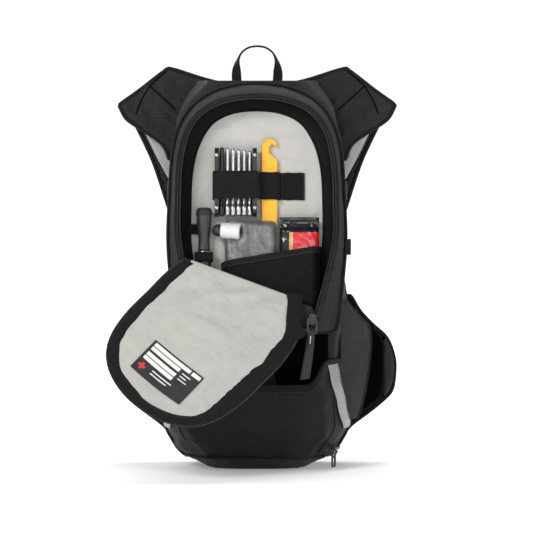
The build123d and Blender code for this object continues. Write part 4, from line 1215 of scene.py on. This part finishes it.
for side, word in SIDES:
    outline = mirrored(soften(resample(catmull(STRAP, 6, closed=True), 200, closed=True), 2), side)
    strap = cushion("strap_pad_" + word, spread(outline, -2.5), facing_front(63.9), "harness", spacer, 9.0, 5.0,
                    strap_relief, step=3.8, replaces=("harness_strap_pads",), slot="foam")
    path = [Vector((p.x, 59.4, p.y)) for p in resample(spread(outline, -2.6), 230, closed=True)]
    sweep("strap_tape_" + word, path, FRONT, flat_section(5.4, 6.4), "harness", binding, closed=True,
          replaces=("harness_strap_binding",), slot="binding_tape")
    shine = resample(mirrored(REFLECTOR, side), 60, closed=True)
    patch = cloth("strap_reflector_" + word, shine, facing_front(54.5), "harness", reflective, step=3,
                  replaces=("upper_reflectors",), slot="reflective")
    thicken(patch, 0.7, 0.0)

    bar = [(93.2, 286), (98.4, 286), (98.4, 307), (93.2, 307)]
    bar = mirrored(soften(resample(bar, 40, closed=True), 1), side)
    plate("strap_adjuster_" + word, bar, facing_front(53.6), 0, 4.2, 1.2, "harness", black_plastic)

    # webbing from the strap's ladder lock down to its anchor on the pack
    rows = []
    for k in range(40):
        t = k / 39
        z = 230 - 170 * t
        x = 81 + 13 * (230 - z) / 166
        belly = 1.6 * math.sin(math.pi * t)
        rows.append([Vector((side * (x + 10 * (1 - 2 * j / 8)), 58.2 + belly, z)) for j in range(9)])
    strip = grid("lower_webbing_" + word, rows, None, webbing)
    thicken(strip, 1.7, 0.0)
    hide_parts("harness_webbing")
    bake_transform(strip)

    tab = [(82.5, 45), (105.5, 45), (105.5, 63), (82.5, 63)]
    tab = mirrored(resample(tab, 60, closed=True), side)
    cushion("webbing_tab_" + word, tab, facing_front(59.0), "pack", webbing, 9.4, 3.0, step=3,
            replaces=("webbing_anchors",), slot="webbing")
    cross = [(86, 48.5), (102, 48.5), (102, 59.5), (86, 59.5), (86, 48.5), (102, 59.5)]
    stitches("webbing_tab_stitch_" + word, [Vector((side * x, 59.2, z)) for x, z in cross], -FRONT, "pack")

# chest strap
for side, word, body, near in ((1, "right", "harness", 24.0), (-1, "left", "chest_plug", 13.5)):
    shares = [k / 29 for k in range(30)]
    path = [Vector((side * (near + (100 - near) * t), 69.0, 330 + 1.2 * math.sin(t * 9))) for t in shares]
    sweep("chest_webbing_" + word + "_strap", path, -FRONT, flat_section(20, 1.7), body, webbing,
          replaces=("chest_webbing_" + word,), slot="webbing")

# grab loop, a webbing that stands flat at its ends and turns edge-on at its top
half_loop = catmull([(21.5, 398), (22.0, 412), (22.6, 424), (21.6, 436), (17.5, 446), (9.5, 452.2), (0, 454)], 8)
line = [Vector((x, 50.9, z)) for x, z in half_loop] + [Vector((-x, 50.9, z)) for x, z in reversed(half_loop[:-1])]
line = resample(line, 90)
outs = []
for p in line:
    t = clamp((p.z - 414) / 34)
    t = t * t * (3 - 2 * t)
    radial = Vector((p.x, 0, p.z - 426)).normalized()
    outs.append((FRONT * (1 - t) + radial * t).normalized())
sweep("grab_loop_webbing", line, outs, flat_section(10.6, 2.1), "grab_loop", webbing, replaces=("grab_loop",),
      slot="webbing")

# small side tag with coloured edge threads
rows = []
for k in range(9):
    z = 230 + 17 * k / 8
    rows.append([Vector((96 + 4.4 * math.sin(math.pi * j / 8), -51.2 + 2.4 * j / 8, z)) for j in range(9)])
side_tag = grid("side_tag_fold", rows, "pack", nylon, replaces=("side_tag",), slot="label")
thicken(side_tag, 0.6)
amber = moulded("amber_thread", (0.75, 0.36, 0.02), (0.85, 0.45, 0.04), 0.6)
for z in (231.6, 245.4):
    path = [Vector((99.4, -52.4 + 0.3 * k, z)) for k in range(12)]
    stitches(f"side_tag_thread_{int(z)}", path, Vector((1, -0.6, 0)).normalized(), "pack", pitch=1.6, length=1.3,
             width=0.6, colour=amber)

# ---------------------------------------------------------------- tools and inner pocket
TOOLS_LEAN = math.atan(0.1365)
TOOLS_UP = Vector((0, math.sin(TOOLS_LEAN), math.cos(TOOLS_LEAN)))
TOOLS_OUT = Vector((0, -math.cos(TOOLS_LEAN), math.sin(TOOLS_LEAN)))


BOARD_Y, BOARD_Z = -44.2, 235


def tools(x, z, w):
    """Point at x, height z and w out from the lining, on the tool board."""
    return Vector((x, BOARD_Y, BOARD_Z)) + TOOLS_UP * ((z - BOARD_Z) / math.cos(TOOLS_LEAN)) + TOOLS_OUT * w


def rounded(angle, half_x, half_y, power_x, power_y):
    """Point of an oval at an angle. A power under 1 makes it squarer."""
    c, s = math.cos(angle), math.sin(angle)
    return math.copysign(abs(c) ** power_x, c) * half_x, math.copysign(abs(s) ** power_y, s) * half_y


# elastic band over the tyre lever and the multi-tool, as (x, w) from right to left
TOOL_BAND = [(51, 0.9), (40, 1.0), (27, 0.9), (24.6, 1.6), (23.8, 4.4), (22.6, 7.0), (19, 7.7), (12.5, 7.9), (5.5, 7.7),
             (2.2, 8.6), (1.4, 12), (1.2, 17.4), (-0.6, 20.0), (-8, 20.5), (-22, 20.8), (-38, 20.5), (-44.4, 20.0),
             (-46.2, 17.6), (-46.4, 9), (-46.5, 2), (-46.7, 1.2), (-47.0, 0.8)]
rows = []
for x, w in catmull(TOOL_BAND, 6):
    rows.append([tools(x, 288 + 29 * j / 10 + 0.25 * math.sin(x * 0.5 + j), w) for j in range(11)])
strap = grid("tool_band_elastic", rows, "pack", elastic, replaces=("tool_band",), slot="webbing")
thicken(strap, 1.3, 0.0)
for x, w in ((49.5, 1.9), (26.6, 1.8)):
    stitches(f"tool_band_stitch_{int(x + 60)}", [tools(x, 289.5 + k * 1.3, w) for k in range(21)], TOOLS_OUT, "pack",
             pitch=2.4, length=1.7)

# mesh pocket behind the fold
POCKET_LEFT, POCKET_WIDE = -37, 105.4
rows = []
for k in range(49):
    x = POCKET_LEFT + POCKET_WIDE * k / 48
    gap = min(x - POCKET_LEFT, 68.4 - x)
    w = 3.0 + 22.2 * min(max(gap, 0) / 9, 1) ** 0.5
    top = 220 + 17 * (x - POCKET_LEFT) / POCKET_WIDE
    row = []
    for j in range(25):
        z = 172 + (top - 172) * j / 24
        wave = 0.7 * math.sin(x * 0.22 + 1.3) * (j / 24) + 0.5 * noise.noise(Vector((x * 0.06, z * 0.06, 1)))
        row.append(tools(x, z, w - 0.4 + wave * min(gap / 9, 1)))
    rows.append(row)
pocket = grid("inner_pocket_mesh", rows, "pack", fine_mesh, replaces=("inner_mesh_pocket",), slot="mesh")
thicken(pocket, 0.6)
top = [row[-1] + TOOLS_OUT * 0.8 - TOOLS_UP * 2.6 for row in rows]
sweep("inner_pocket_tape", top, TOOLS_OUT, flat_section(7.0, 2.4), "pack", binding, replaces=("pocket_bindings",),
      slot="binding_tape")
stitches("inner_pocket_stitch", [p + TOOLS_OUT * 1.5 - TOOLS_UP * 2.4 for p in top[3:-3]], TOOLS_OUT, "pack",
         pitch=3.0, length=2.0)

# elastic loop round the pump
PUMP_X, PUMP_W = -56.3, 9.2
ring = [rounded(a, 9.2, 9.1, 0.75, 0.75) for a in turns(48)]
rows = [[tools(PUMP_X + x, 221.6 + 10 * j / 6, PUMP_W + w) for j in range(7)] for x, w in ring]
pump_ring = grid("pump_elastic", rows, "pack", elastic, close_u=True, replaces=("pump_loop",), slot="webbing")
thicken(pump_ring, 1.1, 0.0)

def turned(name, start, end, profile, body, material, steps=28, **more):
    """Turned piece from start to end. profile lists (share of the length, radius)."""
    start, end = Vector(start), Vector(end)
    axis = (end - start).normalized()
    side = axis.cross(Vector((0, 0.3, 1))).normalized()
    out = axis.cross(side)
    rows = []
    for t, r in profile:
        centre = start.lerp(end, t)
        rows.append([centre + side * r * math.cos(a) + out * r * math.sin(a) for a in turns(steps)])
    return grid(name, rows, body, material, close_v=True, caps=True, **more)


# valve end of the pouch, lying across its front, and the pouch dented behind it
valve_start, valve_end = tools(-38, 254.2, 16.5), tools(-17.5, 252.6, 19.8)
turned("valve_cap_white", valve_start, valve_end, [
    (0, 7.2), (0.02, 8.0), (0.06, 8.4), (0.5, 8.5), (0.52, 8.2), (0.54, 8.5), (0.93, 8.5), (0.98, 8.1), (1.0, 7.5),
    (1.0, 5.4), (0.97, 4.6), (0.86, 4.2)], "pack", white_plastic, replaces=("tube_valve_cap",), slot="white_plastic")
turned("valve_core", valve_start.lerp(valve_end, 0.85), valve_start.lerp(valve_end, 0.93), [
    (0, 4.3), (0.5, 4.0), (1, 2.6), (0.9, 1.2)], "pack", rubber)
turned("valve_collar", tools(-46.6, 254.6, 13.6), valve_start, [
    (0, 3.2), (0.1, 4.6), (0.4, 6.2), (0.75, 6.6), (0.95, 6.2), (1, 5.6)], "pack", black_plastic)

POUCH = [(-34, 178), (21, 178), (21.4, 200), (21, 230), (21.4, 258), (20.2, 264.5), (-8, 265), (-33, 266),
         (-34.4, 240), (-33.4, 205)]


def pouch_relief(x, z, g, face):
    """Creases of the pouch's front, and the dent behind the valve."""
    if face < 0:
        return 0
    dent = -11.0 * math.exp(-(((z - 253) / 9) ** 2)) * clamp((-12 - x) / 10)
    crease = 3.6 * (1 - abs(noise.noise(Vector((x * 0.05 + 2, z * 0.032, 3.3))))) ** 5 - 1.2
    fine = 0.8 * noise.noise(Vector((x * 0.14, z * 0.08, 9.0)))
    fold = -1.6 * math.exp(-(((x + 0.16 * z - 31) / 2.0) ** 2))
    return dent + crease + fine + fold


cushion("tube_pouch_bag", soften(resample(POUCH, 110, closed=True), 2), lambda x, z, d: tools(x, z, 6.4 + d), "pack",
        pouch_cloth, 16.0, 7.0, pouch_relief, step=2.6, replaces=("tube_pouch",), slot="pouch_fabric")


def wrapper_material():
    """Film in plain colours: black ends, a tan stripe and a red field."""
    s = Shader("bar_wrapper", (0.6, 0.02, 0.02), 0.24, coat=0.3, coords="Object")
    x = s.math("ADD", s.axes.outputs[0], s.math("MULTIPLY", s.math("SUBTRACT", s.noise(90), 0.5), 0.0012))
    red = s.math("GREATER_THAN", x, 0.0385)
    tan = s.math("MULTIPLY", s.math("GREATER_THAN", x, 0.0345), s.math("LESS_THAN", x, 0.0385))
    body = s.math("LESS_THAN", s.axes.outputs[2], 0.2545)
    colour = s.node("ShaderNodeMix", data_type="RGBA")
    s.feed(colour.inputs[0], s.math("MULTIPLY", red, body))
    colour.inputs[6].default_value = (0.008, 0.008, 0.009, 1)
    colour.inputs[7].default_value = (0.62, 0.012, 0.016, 1)
    second = s.node("ShaderNodeMix", data_type="RGBA")
    s.feed(second.inputs[0], s.math("MULTIPLY", tan, body))
    s.tree.links.new(colour.outputs[2], second.inputs[6])
    second.inputs[7].default_value = (0.62, 0.36, 0.13, 1)
    s.tree.links.new(second.outputs[2], s.base.inputs["Base Color"])
    s.bump(s.noise(110, 3, 0.6), 0.0012, 0.7)
    return s.material


# snack bar in a crimped wrapper
rows = []
for k in range(60):
    z = 178.6 + 90 * k / 59
    if z > 254:
        half_thick = 1.0 + 5.2 * max(1 - (z - 254) / 5, 0)
    elif z < 191:
        half_thick = 1.0 + 5.2 * max(1 - (191 - z) / 5, 0)
    else:
        half_thick = 6.4
    crimp = 0.55 * math.sin(z * 2.6) if z > 257 or z < 188 else 0
    half_wide = 20.8 if z < 256 else 20.9 - 0.3 * math.sin(z * 1.9)
    ring = []
    for a in turns(56):
        across, out = rounded(a, half_wide, half_thick, 0.45, 0.6)
        x, w = 45.4 + across, 9.7 + out + crimp
        w += 0.7 * noise.noise(Vector((x * 0.12, z * 0.11, 4))) * min(half_thick / 4, 1)
        w += 0.5 * math.sin(x * 0.9 + z * 0.5) * (1 if z > 252 else 0.2)
        ring.append(tools(x, z, w))
    rows.append(ring)
grid("snack_wrapper", rows, "snack_bar", wrapper_material(), close_v=True, caps=True, replaces=("energy_bar",),
     slot="red_film")

def lathe(name, x, w, table, body, material, square, steps=32, **more):
    """Upright loft round (x, w) on the tool board. table lists (z, half width, half depth)."""
    rows = []
    for z, a, b in catmull(table, 4):
        ring = [rounded(t, a, b, square, square) for t in turns(steps)]
        rows.append([tools(x + across, z, w + out) for across, out in ring])
    return grid(name, rows, body, material, close_v=True, caps=True, **more)


# mini pump: name, (z, half width, half depth) from bottom to top, material, squareness, CAD node it replaces
PUMP = (
    ("pump_head_body", [
        (233.2, 5.6, 5.6), (234.5, 6.4, 6.4), (238, 6.0, 6.2), (246, 5.9, 6.6), (252, 6.6, 7.2), (259, 7.6, 7.9),
        (268, 8.0, 8.1), (274, 8.2, 8.1), (276.5, 7.9, 7.9), (278.3, 6.6, 6.6), (278.9, 4.0, 4.0),
    ], black_plastic, 0.8, "pump_head"),
    ("pump_head_cap", [(270.2, 8.1, 8.1), (271, 8.4, 8.4), (275.6, 8.3, 8.4), (276.4, 8.0, 8.0)], rubber, 0.8, None),
    ("pump_tube", [
        (174, 7.4, 7.4), (176, 7.8, 7.8), (200, 7.7, 7.7), (219, 7.6, 7.6), (226, 7.0, 7.0), (230, 6.0, 6.0),
        (233, 5.2, 5.2),
    ], black_metal, 1.0, "pump_barrel"),
    ("pump_grip", [
        (165.2, 6.6, 6.6), (166.2, 7.7, 7.7), (169, 8.0, 8.0), (172.4, 7.9, 7.9), (173.8, 7.2, 7.2),
    ], black_plastic, 1.0, "pump_handle"),
    ("pump_ring", [(230.2, 6.5, 6.5), (230.6, 6.9, 6.9), (232.2, 6.9, 6.9), (232.8, 6.4, 6.4)], steel, 1.0, None),
)
PUMP_SLOTS = {"pump_head": "black_plastic", "pump_barrel": "black_metal", "pump_handle": "black_plastic"}
for name, table, material, square, node in PUMP:
    lathe(name, PUMP_X, PUMP_W, table, "mini_pump", material, square, replaces=(node,) if node else (),
          slot=PUMP_SLOTS.get(node))

# long pull tab of the main slider
tab_low, tab_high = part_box("main_zip_pull_tab")
top = Vector(((tab_low[0] + tab_high[0]) / 2, (tab_low[1] + tab_high[1]) / 2, tab_high[2])) / MM


def strip_point(t, y):
    """Middle of the tab at a share t of its length, which leans out as it goes down."""
    return Vector((top.x - 1.0 - 7.0 * t ** 1.3, y - 8.6 * t, top.z - 51.5 * t))


rows = []
for k in range(26):
    t = k / 25
    centre = strip_point(t, -97.8)
    half = 3.9 + 1.5 * t ** 0.8 if t < 0.97 else 4.9
    if t < 0.06:
        half = 2.6 + 1.3 * t / 0.06
    rows.append([centre + Vector((a, -b, a * 0.15)) for a, b in flat_section(half * 2, 3.4)])
grid("main_pull_strip", rows, "main_pull", rubber, close_v=True, caps=True, replaces=("main_zip_pull_tab",),
     slot="rubber")
for k, t in enumerate((0.16, 0.2, 0.24)):
    spot, half = strip_point(t, -99.7), Vector((0, 0, 1.5))
    stitches(f"main_pull_stitch_{k + 1}", [spot + half, spot - half], FRONT, "main_pull", pitch=1.2, length=2.6,
             width=1.0, colour=pale_print)

# folded bits of the multi-tool
for k, top in enumerate((343.0, 342.4, 341.6, 341.0, 340.2, 339.4)):
    table = [(269.6, 1.3, 2.5), (270.6, 2.5, 4.6), (274, 2.8, 5.4), (279, 2.8, 5.2), (283, 2.1, 3.6), (290, 1.9, 3.2),
             (318, 2.0, 3.4), (333, 2.2, 4.0), (top - 2.4, 2.3, 4.2), (top - 0.6, 1.8, 3.4), (top, 0.9, 1.8)]
    lathe(f"multi_tool_bit_{k + 1}", -37.4 + 5.96 * k, 11.2, table, "multi_tool", steel if k else black_metal, 0.8, 18,
          replaces=("multi_tool_bits", "multi_tool_axles"), slot="steel")
SCREW = [(0, 1.9), (0.6, 1.9), (1.0, 1.5), (1.0, 0.9), (0.5, 0.8)]
for x in (-43, -2.2):
    for z in (278, 334):
        turned(f"multi_tool_screw_{int(50 + x)}_{z}", tools(x, z, 18.2), tools(x, z, 19.1), SCREW, "multi_tool", steel,
               steps=14)

# strap that holds the pump's loop to the rim
rows = []
for i in range(9):
    rows.append([tools(-76 + 13.5 * i / 8, 251.5 + 10.5 * j / 5, 2.2 + 1.6 * math.sin(i * 0.35)) for j in range(6)])
thicken(grid("pump_strap", rows, "pack", elastic), 1.0, 0.0)

# ---------------------------------------------------------------- carried-over pieces and finish
CARRIED = {
    "frame_sheet": white_plastic, "reservoir_bladder": clear_film, "reservoir_port": black_plastic,
    "reservoir_slide_closure": orange, "webbing_anchors": webbing_3d, "ladder_locks": black_plastic,
    "chest_buckle_socket": black_plastic, "chest_buckle_plug": black_plastic, "chest_strap_keepers": black_plastic,
    "multi_tool_plates": black_metal, "multi_tool_axles": steel, "multi_tool_bits": steel, "tyre_lever": orange,
    "pump_barrel": black_metal, "pump_head": black_plastic, "pump_handle": black_plastic,
    "tube_valve_cap": white_plastic, "main_zip_slider": black_metal, "main_zip_pull_ring": black_metal,
    "main_zip_pull_tab": rubber, "base_zip_slider": black_metal, "base_zip_pull": black_metal,
    "base_zip_coil": coil,
}
for name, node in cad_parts.items():
    if node.type == "MESH":
        node.data.materials.clear()
        node.data.materials.append(CARRIED.get(name, cloth_3d))

# pale floor whose glow rises with distance, so that it meets the background without a line
bpy.ops.mesh.primitive_plane_add(size=60, location=(0, 0, 0))
floor = bpy.context.object
floor.name = "floor"
paper = Shader("paper", (0.93, 0.93, 0.93), 0.9, coords="Object")
paper.put(paper.base, {"Sheen Roughness": 0.5, "Emission Color": (1, 1, 1, 1)})
reach = paper.node("ShaderNodeVectorMath", operation="LENGTH")
glow = paper.node("ShaderNodeMapRange")
paper.put(glow, {"From Min": 0.3, "From Max": 1.6, "To Min": 0.22, "To Max": 0.95})
paper.tree.links.new(paper.coords, reach.inputs[0])
paper.tree.links.new(reach.outputs["Value"], glow.inputs["Value"])
paper.tree.links.new(glow.outputs[0], paper.base.inputs["Emission Strength"])
floor.data.materials.append(paper.material)
floor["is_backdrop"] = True

low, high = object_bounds()
